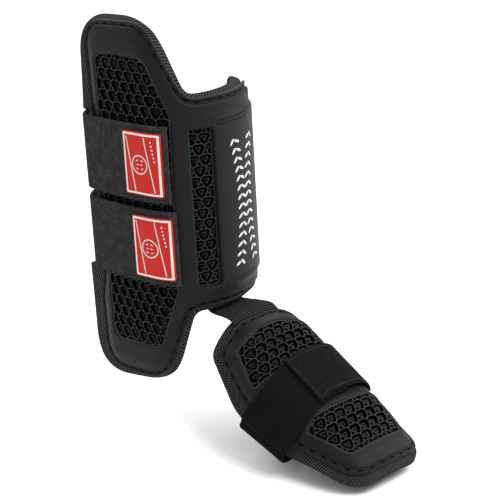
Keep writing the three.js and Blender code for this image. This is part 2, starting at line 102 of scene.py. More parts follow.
# Cross-sections as (radius, degrees turned), from the front centre line and from the foot's crest
FRONT = 62.0
WING_ARCS = [(43, 29), (33, 56), (380, 60)]
FAR_ARCS = [(58, 300)]
FOOT_ARCS = [(130, 9), (28, 62), (200, 60)]
FOOT_ORIGIN = np.array([5.0, -84.0, -87.0])
FOOT_PITCH = math.radians(29.8)
FOOT_TURN = math.radians(-3)

# Layers, measured outwards from the back of the shell
GAP = 0.3
LINER = 9.0
SHELL = 4.5
STRAP = 3.0
ELASTIC = 2.2
LATTICE_FACE = 3.7
COLUMN_FACE = 2.4

# Outlines as (a, b, corner radius), anticlockwise
SHIN_SHEET = [
    (-55, -77, 14), (32, -76.7, 14), (53, -136.6, 34), (123.3, -139.7, 24), (124.5, -82, 24),
    (118.3, -57, 24), (112, 0, 150), (120.5, 133.5, 24), (53.5, 135, 26), (27, 80.3, 14),
    (-55, 80.3, 14),
]
SHIN_LINER = [
    (-66, -82, 14), (29, -82, 12), (53, -139.5, 48), (144.5, -151, 34), (140, -60, 1.5),
    (119, -59.2, 1), (117, 0, 150), (118, 62.4, 1), (131.5, 62.6, 1), (132.5, 135.5, 35),
    (54, 137.5, 50), (25.5, 82, 12), (-66, 82, 14),
]
WING_WINDOW = [
    (56, -110.5, 12), (108.5, -112, 8), (109.3, -62, 30), (105.5, 109, 8), (84, 111, 60),
    (54.5, 109.5, 12), (37.5, 69, 8), (40, -64, 8),
]
FRONT_WINDOW = [(10, -60, 3), (27, -60, 3), (27, 59, 3), (10, 59, 3)]
FOOT_LINER_HALF = [(18, -8.5, 30), (52.5, 2, 14), (70, 45, 40), (67.5, 85, 60), (38, 156, 31)]
FOOT_SHELL_HALF = [(18, -1.8, 24), (46, 10.5, 12), (57, 55, 54), (50.5, 93, 54), (32, 152, 23)]
FOOT_UPPER_HALF = [(10, 11, 12), (34, 18.5, 5), (44, 50, 4)]
FOOT_LOWER_HALF = [(26, 94, 6), (36.5, 101, 4), (25, 134, 6)]
# Corners with little room beside them, by number, and the share of a growth that they take
SHIN_NARROW = [6]
LINER_NOTCH = [4, 5, 6, 7, 8]
NARROW_SHARE = 0.1
LEAST_CORNER = 0.3

# Raised front panel: how high it stands, where it fades, and the slots pressed into its ends
PANEL_RISE = 2.0
PANEL_TOP = 63.0
PANEL_FOOT = -61.0
PANEL_SOFT = ((-45, 8), (2.5, 8.0))
PANEL_NEAR = (27, 10)
PANEL_FAR = (-50, -47)
SLOTS = [
    [(-23, 59.8, 0.5), (7, 59.8, 0.5), (7, 62.8, 0.5), (-23, 62.8, 0.5)],
    [(-27, -60.4, 0.4), (7, -60.4, 0.4), (7, -58.2, 0.4), (-27, -58.2, 0.4)],
]
SLOT_LINE = 0.35
SLOT_DEPTH = 0.6
# Shallow dip of the foot shell under its strap, up to an arch
DIP = {
    "depth": 1.0, "start": (50, 54), "arch": 90.5, "bow": 10, "half": 50, "soft": 1.6, "sides": (44, 48),
}

# Edge profiles as (inset from the outline, height)
SHELL_PROFILE = [
    (0.3, 0.05), (0.0, 0.4), (0.0, 1.3), (0.25, 2.0), (0.8, 2.45), (1.4, 2.4), (1.9, 2.0), (2.3, 1.6),
    (2.9, 1.45), (3.5, 1.5), (3.9, 1.9), (4.2, 2.7), (4.6, 3.6), (5.2, 4.2), (6.0, 4.45), (7.0, 4.5),
]
SHELL_BACK = 0.05
# Groove: the insets it lies between (painted in the groove's shade tone), its floor, and the row of
# near-black stitch dashes in it, which paint the shade of the stitch holes
GROOVE = (1.9, 3.9)
GROOVE_FLOOR = 1.45
STITCH_INSET = 2.9
STITCH_HEIGHT = 1.5
# Crowned faces: the share of their height left beside the groove, the insets over which they rise
# from it, and the places round the leg over which the shin shell becomes crowned
EDGE_FALL = 0.35
CROWN = (4, 13)
WING_CROWN = (25, 45)
# Window edges as (growth of the outline, drop below the shell's face)
WINDOW_PROFILE = [(1.6, 0.0), (0.8, 0.12), (0.25, 0.45), (0.0, 0.9)]
# Padded rim as (inset from the outline, height), from the front face round to the back one
RIM_PROFILE = [
    (9.0, -0.4), (4.4, -0.4), (3.3, -0.6), (2.4, -1.4), (1.5, -2.6), (0.8, -4.0), (0.3, -5.4),
    (0.0, -6.8), (0.15, -7.8), (0.7, -8.7), (1.6, -9.2), (3.0, -9.45), (8.0, -9.5),
]
# Liners: how far their backs stand out at first, over a reach in from the rim. The backs are then run
# as cloth, with a pressure, a number of frames and a cap on movement
BACK_RISE = 0.5
BACK_REACH = 12
SWELL_PRESSURE = 4.0
SWELL_FRAMES = 20
SWELL_CAP = 2.2

# Lattice: its cells and their rounding, the web between them, insets of the panel and of the frame
# round its cells, the room within which corners are merged, and the least area of a cell and of one
# with a ring in it
PITCH = 9.2
ROW = PITCH * math.sqrt(3) / 2
SMALL_SIDE = 4.8
SMALL_LOW = SMALL_SIDE * math.sqrt(3) / 6
SMALL_HIGH = SMALL_SIDE / math.sqrt(3)
BIG_ROUND = 1.1
SMALL_ROUND = 0.7
WEB = 0.45
PANEL_INSET = 0.15
FRAME_INSET = 0.9
MERGE = 0.05
CELL_ROOM = 1.6
RING_ROOM = 26.0
PIT_MOUTH = 0.965  # share of a cell that its chamfer leaves
# Pits as (shallowest, deeper by, from, to): they deepen away from the window's ends or edge
WING_PITS = (1.9, 1.3, 2, 26)
WING_ENDS = (-112, 111)
FOOT_PITS = (1.4, 1.6, 3, 14)
COLUMN_PIT = 2.0

# Stitches and raised dashes, by their measures
STITCH_MEASURES = ("Step", "Length", "Width", "Height")
EDGE_STITCH = (9.6, 4.8, 1.5, 0.7)
STRAP_STITCH = (2.8, 1.7, 0.9, 0.45)
TAB_STITCH = (2.4, 1.6, 0.5, 0.4)
PRINT_TICK = (6.8, 6.4, 2.3, 0.12)
MOTIF_LINE = (0.8, 1.8, 0.95, 0.3)
MOTIF_SEAM = (2.7, 2.6, 0.8, 0.3)
MOTIF_DOT = (2.6, 1.5, 1.5, 0.3)

# Rows that bow like a ball's seams, as a share of their spread at the waist
SEAM_WAIST = 0.45
# Chevrons on the front panel: middle, reach up and down, spread, lift, and (side, shift, slant)
PRINT_MIDDLE = (-16.0, -2.0)
PRINT_REACH = 46.0
PRINT_SPREAD = 9.5
PRINT_LIFT = 0.02
PRINT_ROWS = (("left", 2.4, 0.6), ("right", -2.4, -0.6))

# Calf straps: they are sewn on at the far rim, rise towards the wing and bend round its edge. A seam
# runs along the sides of each free end and across behind its label
STRAP_WIDTH = 57.0
STRAP_EDGE = 1.3
STRAP_DROP = 17.0
STRAP_RISE = (0.1, 0.9)
STRAP_BEND = 11.0
STRAP_LEAVES = (90.0, 140.0)
STRAP_LAP = -56.0
STRAP_SEAM = {"start": 29.0, "half": 25.5, "end": 3.2}
CALF_STRAPS = [
    {"name": "upper", "middle": 33.5, "end": 39.5, "label": 59.0},
    {"name": "lower", "middle": -29.5, "end": 37.0, "label": 55.5},
]

# Labels, with their edge as (inset, rise, finish)
LABEL_ROUND = 32.0
LABEL_TALL = 47.0
LABEL_CORNER = 1.6
LABEL_LIFT = 0.05
LABEL_FIELD = 1.4
LABEL_PROFILE = [
    (0.15, 0.0, 0), (0.0, 0.3, 0), (0.0, 1.2, 0), (0.15, 1.45, 0), (0.9, 1.5, 0), (1.0, 1.75, 1),
    (1.15, 1.85, 1), (2.2, 1.85, 1), (2.35, 1.75, 1), (2.45, LABEL_FIELD, 0),
]

# Plain emblem of a label, about its middle: a ball, two slanted lines and a row of dots
BALL_MIDDLE = np.array([1.0, -0.6])
BALL_RADIUS = 6.8
BALL_SEAM_REACH = 0.84
BALL_SEAM_SPREAD = 0.56
BALL_LINES = np.array([[(12.4, 19.0), (6.6, -20.0)], [(-4.4, 19.5), (-10.2, -19.5)]])
BALL_DOTS = np.array([(-9.2, 17.0), (-11.2, 3.0)])

# Bands: how thin their edges get and where their edge columns lie, as shares, and rows near an end
LEAST_EDGE = 0.2
EDGE_STEPS = np.array([0.0, 0.15, 0.45, 1.0])
STRAP_TIP = np.array([1.2, 0.6, 0.2, 0.0])
TAB_TIP = np.array([0.0, 0.3, 0.8, 1.5])

# Webbing and foot strap. The strap turns round the rim at these places across the foot, at its edge
# nearer the ankle and at its edge nearer the toes, on the wing's side and on the far side
ELASTIC_EDGE = 0.9
WEBBING = {
    "middle": -5, "width": 44, "thick": 2, "top": -60, "rim": -81, "pad": -6, "edge": 12, "pull": 7,
}
FOOT_STRAP = {
    "width": 44, "middle": 66.5, "slant": 11, "slant_over": 50, "under": 32, "lap": 9, "tuck": 12,
}
NEAR_TURNS = (65.5, 58.5)
FAR_TURNS = (67.0, 64.0)
RIM_DROP_BEFORE = 5.5
RIM_DROP_AFTER = 3.0
RIM_CLEAR = 2
FOOT_TAB = {"width": 42, "start": -17, "end": 46, "thick": 2, "drop": 3.0, "drop_from": 14}
TAB_SEAM = {"side": 3.0, "start": 2.5, "end": 4.0, "sunk": 0.05}


def smoothstep(low, high, x):
    t = np.clip((np.asarray(x, float) - low) / (high - low), 0, 1)
    return t * t * (3 - 2 * t)


def walk(arcs, length):
    """Places and headings after lengths along a chain of arcs that starts out along +x."""
    left = np.array(length, float)
    x = np.zeros_like(left)
    y = np.zeros_like(left)
    heading = np.zeros_like(left)
    for radius, turn in arcs:
        step = np.minimum(left / radius, math.radians(turn))
        x = x + radius * (np.sin(heading + step) - np.sin(heading))
        y = y + radius * (np.cos(heading) - np.cos(heading + step))
        heading = heading + step
        left = left - step * radius
    return x, y, heading


def shin(flat):
    """Bends rows of (round, up, out) to the leg."""
    a, b, n = np.asarray(flat, float).reshape(-1, 3).T
    far = walk(FAR_ARCS, np.abs(a))
    wing = walk(WING_ARCS, np.abs(a))
    x, y, heading = (np.where(a < 0, f, w) for f, w in zip(far, wing))
    side = np.where(a < 0, 1.0, -1.0)
    return np.column_stack([side * (x + n * np.sin(heading)), y - FRONT - n * np.cos(heading), b])


FOOT_ALONG = np.array([
    math.sin(FOOT_TURN) * math.cos(FOOT_PITCH),
    -math.cos(FOOT_TURN) * math.cos(FOOT_PITCH),
    -math.sin(FOOT_PITCH),
])
FOOT_ACROSS = np.array([math.cos(FOOT_TURN), math.sin(FOOT_TURN), 0.0])
FOOT_OUT = np.cross(FOOT_ALONG, FOOT_ACROSS)


def foot_plane(across, along, out):
    across, along, out = np.broadcast_arrays(across, along, out)
    return (FOOT_ORIGIN + along[..., None] * FOOT_ALONG + across[..., None] * FOOT_ACROSS
            + out[..., None] * FOOT_OUT)


def foot(flat):
    """Bends rows of (across, along, out) to the foot."""
    a, b, n = np.asarray(flat, float).reshape(-1, 3).T
    x, y, heading = walk(FOOT_ARCS, np.abs(a))
    return foot_plane(np.sign(a) * (x + n * np.sin(heading)), b, n * np.cos(heading) - y)


def mirrored(half):
    return half + [(-a, b, r) for a, b, r in reversed(half)]


def grown(corners, growth):
    """Corners moved outwards by a growth, or inwards by a negative one."""
    at = np.array(corners, float)
    u = at[:, :2] - np.roll(at[:, :2], 1, axis=0)
    u /= np.linalg.norm(u, axis=1)[:, None]
    v = np.roll(u, -1, axis=0)
    share = growth / (1 + (u * v).sum(axis=1))
    bend = np.sign(u[:, 0] * v[:, 1] - u[:, 1] * v[:, 0])
    return np.column_stack([
        at[:, 0] + (u[:, 1] + v[:, 1]) * share,
        at[:, 1] - (u[:, 0] + v[:, 0]) * share,
        np.maximum(at[:, 2] + growth * bend, LEAST_CORNER),
    ])


def outline(corners, grow=0.0, spacing=2.0, narrow=()):
    """Points round rounded corners. Outlines grown from the same corners match point for point.

    Corners with the numbers in narrow take only a share of the growth.
    """
    base = np.array(corners, float)
    moved = grown(corners, grow) if grow else base.copy()
    for i in narrow:
        moved[i] = base[i] + (moved[i] - base[i]) * NARROW_SHARE
    count = len(base)
    to_before = np.roll(base[:, :2], 1, axis=0) - base[:, :2]
    to_after = np.roll(base[:, :2], -1, axis=0) - base[:, :2]
    span = np.linalg.norm(to_after, axis=1)
    u = to_before / np.linalg.norm(to_before, axis=1)[:, None]
    v = to_after / span[:, None]
    half = np.arccos(np.clip((u * v).sum(axis=1), -1, 1)) / 2
    reach = base[:, 2] / np.tan(half)
    own = moved[:, 2] / np.tan(half)
    start = moved[:, :2] + u * own[:, None]
    end = moved[:, :2] + v * own[:, None]
    points = []
    for i in range(count):
        j = (i + 1) % count
        steps = max(2, round(base[i, 2] * (math.pi - 2 * half[i]) / spacing))
        t = np.linspace(0, 1, steps + 1)[:, None]
        points.append((1 - t) ** 2 * start[i] + 2 * t * (1 - t) * moved[i, :2] + t * t * end[i])
        pieces = max(1, round((span[i] - reach[i] - reach[j]) / spacing))
        t = np.linspace(0, 1, pieces + 1)[1:-1, None]
        points.append(end[i] + (start[j] - end[i]) * t)
    return np.concatenate(points)


def inside(polygon, points):
    """Which points lie inside a closed polygon."""
    x, y = np.asarray(points, float).T
    hit = np.zeros(len(x), bool)
    for (ax, ay), (bx, by) in zip(polygon, np.roll(polygon, -1, axis=0)):
        if ay == by:
            continue
        crosses = (ay > y) != (by > y)
        hit ^= crosses & (x < (bx - ax) * (y - ay) / (by - ay) + ax)
    return hit


def distance(points, loop):
    """How far each flat point is from the nearest point of a loop."""
    return np.sqrt(np.concatenate([
        ((part[:, None] - loop[None]) ** 2).sum(axis=2).min(axis=1)
        for part in np.array_split(points, 40)
    ]))


def raised(flat, height):
    """Flat points with one height, or with a height each."""
    return np.column_stack([flat, np.broadcast_to(height, len(flat))])


def chain(first, count, closed=True):
    """Edges that join points in turn, from the number of the first one."""
    return [(first + i, first + (i + 1) % count) for i in range(count if closed else count - 1)]


def triangulated(points, edges, polygons=()):
    """Faces between flat points, as (point numbers, numbers of the polygons that hold the face)."""
    out = delaunay_2d_cdt([Vector(p) for p in points], edges, list(polygons), 1, 1e-5)
    source = [origin[0] for origin in out[3]]
    return [([source[i] for i in face], owners) for face, owners in zip(out[2], out[5])]


def placed(name, data):
    """A new object in the scene."""
    obj = bpy.data.objects.new(name, data)
    bpy.context.scene.collection.objects.link(obj)
    return obj


class Mesh:
    """Flat points with heights, faces, a place on the cloth for each face corner, and materials."""

    def __init__(self):
        self.points = []
        self.faces = []
        self.cloth = []
        self.finish = []
        self.count = 0

    def add(self, flat):
        flat = np.asarray(flat, float).reshape(-1, 3)
        self.points.append(flat)
        first = self.count
        self.count += len(flat)
        return np.arange(first, self.count)

    def face(self, corners, cloth, finish=0):
        self.faces.append([int(c) for c in corners])
        self.cloth.append(cloth)
        self.finish.append(finish)

    def strip(self, lower, upper, along, across, finish=0):
        """Quads between two matching closed rows, the upper one to the left of the lower one."""
        for i in range(len(lower)):
            j = (i + 1) % len(lower)
            here, there = along[i], along[i + 1]
            cloth = [(here, across[0]), (there, across[0]), (there, across[1]), (here, across[1])]
            self.face([lower[i], lower[j], upper[j], upper[i]], cloth, finish)

    def made(self, name, bend, materials, smooth=True):
        """The bent mesh. Bending turns the sheet over, so each face is turned back outwards."""
        flat = np.concatenate(self.points)
        faces = [face[::-1] for face in self.faces]
        cloth = [marks[::-1] for marks in self.cloth]
        return mesh_object(name, bend(flat) * MM, faces, cloth, self.finish, materials, smooth)


def mesh_object(name, places, faces, cloth, finish, materials, smooth=True):
    mesh = bpy.data.meshes.new(name)
    mesh.from_pydata([tuple(p) for p in places], [], faces)
    layer = mesh.uv_layers.new(name="cloth")
    corners = np.array([uv for face in cloth for uv in face], float) * MM
    layer.data.foreach_set("uv", corners.astype(np.float32).ravel())
    for material in materials:
        mesh.materials.append(material)
    mesh.polygons.foreach_set("material_index", np.array(finish, np.int32))
    if smooth:
        mesh.shade_smooth()
        mesh.set_sharp_from_angle(angle=SHARP)
    mesh.validate()
    return placed(name, mesh)


def lengths(loop, closed=True):
    """Length along a row of points at each of them, and at the end of the last step."""
    ring = np.concatenate([loop, loop[:1]]) if closed else loop
    return np.concatenate([[0], np.cumsum(np.linalg.norm(np.diff(ring, axis=0), axis=1))])


def grid_inside(loops, spacing):
    """Points of an even grid inside the first loop and clear of every loop."""
    outer = loops[0]
    low = outer.min(axis=0)
    high = outer.max(axis=0)
    a = np.arange(low[0] + spacing / 2, high[0], spacing)
    b = np.arange(low[1] + spacing / 2, high[1], spacing)
    points = np.stack(np.meshgrid(a, b, indexing="ij"), axis=-1).reshape(-1, 2)
    points = points[inside(outer, points)]
    return points[distance(points, np.concatenate(loops)) > GRID_CLEAR * spacing]


def fill(mesh, loops, holes, height, spacing, up=True, slots=()):
    """Triangles inside the first loop. A loop is (indices, flat points); holes stay open.

    Triangles between the two outlines of a slot take the second finish, painted shade for the slot's
    line.
    """
    flats = [flat for _, flat in loops]
    extra = grid_inside(flats, spacing)
    for hole in holes:
        extra = extra[~inside(flats[hole], extra)]
    extra_ids = mesh.add(raised(extra, height(extra)))
    ids = np.concatenate([indices for indices, _ in loops] + [extra_ids])
    points = np.concatenate(flats + [extra])
    edges = []
    first = 0
    for flat in flats:
        edges += chain(first, len(flat))
        first += len(flat)
    triangles = np.array([face for face, _ in triangulated(points, edges)])
    middle = points[triangles].mean(axis=1)
    keep = inside(flats[0], middle)
    for hole in holes:
        keep &= ~inside(flats[hole], middle)
    slot_shade = np.zeros(len(triangles), int)
    for outer, inner in slots:
        slot_shade |= inside(outer, middle) & ~inside(inner, middle)
    for triangle, finish in zip(triangles[keep], slot_shade[keep]):
        order = triangle if up else triangle[::-1]
        mesh.face(ids[order], [tuple(points[i]) for i in order], int(finish))


def flat_height(level):
    return lambda points: np.full(len(points), float(level))


def edge_rings(mesh, corners, profile, finish=0, spacing=2.0, narrow=(), groove=None):
    """Rings of an edge profile round an outline, from the first entry to the last.

    Strips between the two insets of a groove take the second finish, the groove's painted shade.
    """
    rings = []
    along = lengths(outline(corners, 0.0, spacing, narrow))
    travel = 0.0
    for i, (inset, level) in enumerate(profile):
        flat = outline(corners, -inset, spacing, narrow)
        ids = mesh.add(raised(flat, level))
        if rings:
            before, below = profile[i - 1]
            step = math.hypot(inset - before, level - below)
            sunk = groove is not None and before >= groove[0] and inset <= groove[1]
            own = 1 if sunk else finish
            mesh.strip(rings[-1][0], ids, along, (travel, travel + step), finish=own)
            travel += step
        rings.append((ids, flat))
    return rings


def shell(name, bend, corners, windows, dents, height, materials, spacing, crowned, narrow=()):
    """A moulded shell with a beaded, grooved edge, windows cut through it and shallow dents.

    Where it is crowned, its face falls away towards the groove.
    """
    mesh = Mesh()
    rings = edge_rings(mesh, corners, SHELL_PROFILE, narrow=narrow, groove=GROOVE)
    tops = []
    bottoms = []
    for window in windows:
        rows = []
        for grow, drop in WINDOW_PROFILE + [(0.0, None)]:
            flat = outline(window, grow, FINE)
            level = SHELL_BACK if drop is None else height(flat) - drop
            rows.append((mesh.add(raised(flat, level)), flat))
            if len(rows) > 1:
                mesh.strip(rows[-2][0], rows[-1][0], lengths(flat), (0, 1))
        tops.append(rows[0])
        bottoms.append(rows[-1])
    marks = []
    slots = []
    for dent in dents:
        loops = [outline(dent, grow, FINE) for grow in (SLOT_LINE, 0.0, -SLOT_LINE)]
        for loop, drop in zip(loops, (0.0, SLOT_DEPTH, 0.0)):
            marks.append((mesh.add(raised(loop, height(loop) - drop)), loop))
        slots.append((loops[0], loops[2]))
    holes = range(1, 1 + len(windows))
    fill(mesh, [rings[-1]] + tops + marks, holes, height, spacing, slots=slots)
    fill(mesh, [rings[0]] + bottoms, holes, flat_height(SHELL_BACK), spacing * 2, up=False)
    flat = np.concatenate(mesh.points)
    inset = distance(flat[:, :2], outline(corners, 0.0, MEASURED, narrow))
    rise = np.maximum(flat[:, 2] - GROOVE_FLOOR, 0) * (1 - EDGE_FALL) * crowned(flat[:, 0])
    flat[:, 2] -= np.where(inset > STITCH_INSET, rise * (1 - smoothstep(*CROWN, inset)), 0)
    mesh.points = [flat]
    return mesh.made(name, bend, materials)


def liner(name, bend, corners, materials, notch=()):
    """A padded liner: a ribbed binding on its edge and front, and a mesh back that swells a little."""
    mesh = Mesh()
    rings = edge_rings(mesh, corners, RIM_PROFILE[::-1], finish=1, spacing=RIM_STEP, narrow=notch)
    back_rim = rings[0][1]

    def swell(points):
        return RIM_PROFILE[-1][1] - BACK_RISE * smoothstep(0, BACK_REACH, distance(points, back_rim))

    first = mesh.count
    fill(mesh, [rings[0]], [], swell, LINER_GRID, up=False)
    loose = range(first, mesh.count)
    wrapped = len(mesh.faces)
    fill(mesh, [rings[-1]], [], flat_height(RIM_PROFILE[0][1]), LINER_GRID * 2)
    mesh.finish[wrapped:] = [1] * (len(mesh.faces) - wrapped)
    pad = mesh.made(name, bend, materials)
    swell_back(pad, loose)
    return pad


def places_of(mesh):
    places = np.empty(len(mesh.vertices) * 3, np.float32)
    mesh.vertices.foreach_get("co", places)
    return places.reshape(-1, 3).astype(float)


def swell_back(pad, loose):
    """Blows up the mesh back of a pad as cloth sewn down along its binding, up to a cap."""
    rest = places_of(pad.data)
    back = [list(p.vertices) for p in pad.data.polygons if any(v in loose for v in p.vertices)]
    used = sorted({v for corners in back for v in corners})
    at = {v: i for i, v in enumerate(used)}
    mesh = bpy.data.meshes.new("swelling_back")
    faces = [[at[v] for v in corners] for corners in back]
    mesh.from_pydata([tuple(rest[v]) for v in used], [], faces)
    sheet = placed("swelling_back", mesh)
    sewn = sheet.vertex_groups.new(name="sewn")
    sewn.add([at[v] for v in used if v not in loose], 1.0, "REPLACE")
    cloth = sheet.modifiers.new("swell", "CLOTH")
    cloth.settings.vertex_group_mass = sewn.name
    cloth.settings.use_pressure = True
    cloth.settings.uniform_pressure_force = SWELL_PRESSURE
    cloth.settings.effector_weights.gravity = 0
    cloth.point_cache.frame_end = SWELL_FRAMES
    scene = bpy.context.scene
    for step in range(1, SWELL_FRAMES + 1):
        scene.frame_set(step)
    blown = places_of(sheet.evaluated_get(bpy.context.evaluated_depsgraph_get()).to_mesh())
    scene.frame_set(1)
    move = blown - rest[used]
    far = np.maximum(np.linalg.norm(move, axis=1), 1e-9)
    cap = SWELL_CAP * MM
    rest[used] += move * (cap * np.tanh(far / cap) / far)[:, None]
    pad.data.vertices.foreach_set("co", rest.astype(np.float32).ravel())
    pad.data.update()
    bpy.data.objects.remove(sheet)


def shin_height(points):
    """The front of the shin shell stands up beside the lattice column and fades into the rest."""
    a, b = np.asarray(points, float).T
    soft = np.interp(a, *PANEL_SOFT)
    top = smoothstep(0, 1, 1 - (b - PANEL_TOP) / soft)
    low = smoothstep(0, 1, 1 + (b - PANEL_FOOT) / soft)
    return SHELL + PANEL_RISE * (top * low) * smoothstep(*PANEL_NEAR, a) * smoothstep(*PANEL_FAR, a)


def foot_height(points):
    """The foot shell dips under its strap, up to the arched frame of its lower window."""
    a, b = np.asarray(points, float).T
    arch = DIP["arch"] + DIP["bow"] * (a / DIP["half"]) ** 2
    sides = 1 - smoothstep(*DIP["sides"], np.abs(a))
    below_arch = 1 - smoothstep(arch - DIP["soft"], arch, b)
    return SHELL - DIP["depth"] * smoothstep(*DIP["start"], b) * below_arch * sides


def clipped(polygon, window):
    """The part of a polygon inside a convex anticlockwise one."""
    kept = [np.asarray(p, float) for p in polygon]
    for p, q in zip(window, np.roll(window, -1, axis=0)):
        side = [(q[0] - p[0]) * (c[1] - p[1]) - (q[1] - p[1]) * (c[0] - p[0]) for c in kept]
        cut = []
        for i, c in enumerate(kept):
            j = i - 1
            if (side[i] >= 0) != (side[j] >= 0):
                cut.append(kept[j] + (c - kept[j]) * side[j] / (side[j] - side[i]))
            if side[i] >= 0:
                cut.append(c)
        kept = cut
        if len(kept) < 3:
            return None
    merged = [c for i, c in enumerate(kept) if np.linalg.norm(c - kept[i - 1]) > MERGE]
    return np.array(merged) if len(merged) > 2 else None


def area(polygon):
    x, y = polygon.T
    return 0.5 * float(np.sum(x * np.roll(y, -1) - np.roll(x, -1) * y))


def big_cell(down):
    """A large cell about the middle of its triangle: nine sides, blunt point first."""
    half = [
        (0, -2 * ROW / 3), (PITCH / 2 - SMALL_SIDE / 2, -ROW / 3 - SMALL_LOW),
        (PITCH / 2, -ROW / 3 + SMALL_HIGH), (PITCH / 2, ROW / 3),
        (SMALL_SIDE / 2, 2 * ROW / 3 - SMALL_LOW),
    ]
    corners = half + [(-a, b) for a, b in reversed(half[1:])]
    points = outline([(a, b, BIG_ROUND) for a, b in corners], -WEB / 2, BIG_STEP) * [1, down]
    return points if down > 0 else points[::-1]


def small_cell(down):
    """The small cell beside it, at its lower right: a triangle, point up."""
    middle = (PITCH / 2, -ROW / 3)
    ends = [(-SMALL_SIDE / 2, -SMALL_LOW), (SMALL_SIDE / 2, -SMALL_LOW), (0, SMALL_HIGH)]
    corners = [(a, b, SMALL_ROUND) for a, b in ends]
    points = (outline(corners, -WEB / 2, SMALL_STEP) + middle) * [1, down]
    return points if down > 0 else points[::-1]


def grid_cells(window, down):
    """Large and small cells of the lattice inside a window, as (polygon, is large, place)."""
    frame_line = outline(window, -FRAME_INSET, FINE)
    low = frame_line.min(axis=0) - PITCH
    high = frame_line.max(axis=0) + PITCH
    cells = []
    for j in range(int((high[1] - low[1]) / ROW) + 1):
        for i in range(int((high[0] - low[0]) / PITCH) + 1):
            place = np.array([low[0] + (i + 0.5 * (j % 2)) * PITCH, low[1] + j * ROW])
            for large, shape in ((True, big_cell(down) + place), (False, small_cell(down) + place)):
                cut = clipped(shape, frame_line)
                if cut is not None and area(cut) > CELL_ROOM:
                    cells.append((cut, large, cut.mean(axis=0)))
    return cells


def lattice(name, bend, window, face, down, depth):
    """A lattice panel and its rings. Cells are marked by depth, and the pit tree presses them in."""
    mesh = Mesh()
    top_flat = outline(window, -PANEL_INSET, FINE)
    top = mesh.add(raised(top_flat, face))
    bottom = mesh.add(raised(top_flat, GAP))
    mesh.strip(bottom, top, lengths(top_flat), (0, face))
    fill(mesh, [(bottom, top_flat)], [], flat_height(GAP), LATTICE_GRID, up=False)
    cells = grid_cells(window, down)
    points = [top_flat]
    ids = [top]
    polygons = []
    first = len(top_flat)
    for polygon, _, _ in cells:
        points.append(polygon)
        ids.append(mesh.add(raised(polygon, face)))
        polygons.append(list(range(first, first + len(polygon))))
        first += len(polygon)
    points = np.concatenate(points)
    ids = np.concatenate(ids)
    for order, owners in triangulated(points, chain(0, len(top_flat)), polygons):
        if not owners:
            mesh.face(ids[order], [tuple(points[i]) for i in order])
    webs = len(mesh.faces)
    for polygon in polygons:
        mesh.face(ids[polygon], [tuple(points[i]) for i in polygon])
    obj = mesh.made(name, bend, [LATTICE_PAINTED_LIGHT_FINISH], smooth=False)
    pit = np.zeros(len(mesh.faces), np.float32)
    pit[webs:] = [depth(place) * MM for _, _, place in cells]
    obj.data.attributes.new("pit", "FLOAT", "FACE").data.foreach_set("value", pit)
    whole = [place for polygon, large, place in cells if large and area(polygon) > RING_ROOM]
    floors = [(*place, face - depth(place)) for place in whole]
    rings = lattice_rings(name.replace("moulding", "rings"), bend, np.array(floors), down)
    finishes = {"Material": LATTICE_PAINTED_LIGHT_FINISH, "Pit Painted Shade": PIT_PAINTED_SHADE_FINISH}
    return grow_nodes(obj, PIT_TREE, finishes), rings


def lattice_rings(name, bend, floors, down):
    """Thin triangles on the floors of the large cells, pointing the way their cells do."""
    places = bend(floors) * MM
    out = bend(floors + [0, 0, 1.0]) * MM - places
    point = bend(floors - [0, down, 0]) * MM - places
    mesh = bpy.data.meshes.new(name)
    mesh.from_pydata([tuple(p) for p in places], [], [])
    give_directions(mesh, "out", out)
    give_directions(mesh, "point", point)
    return grow_nodes(placed(name, mesh), RING_TREE, {"Material": LATTICE_PAINTED_LIGHT_FINISH})


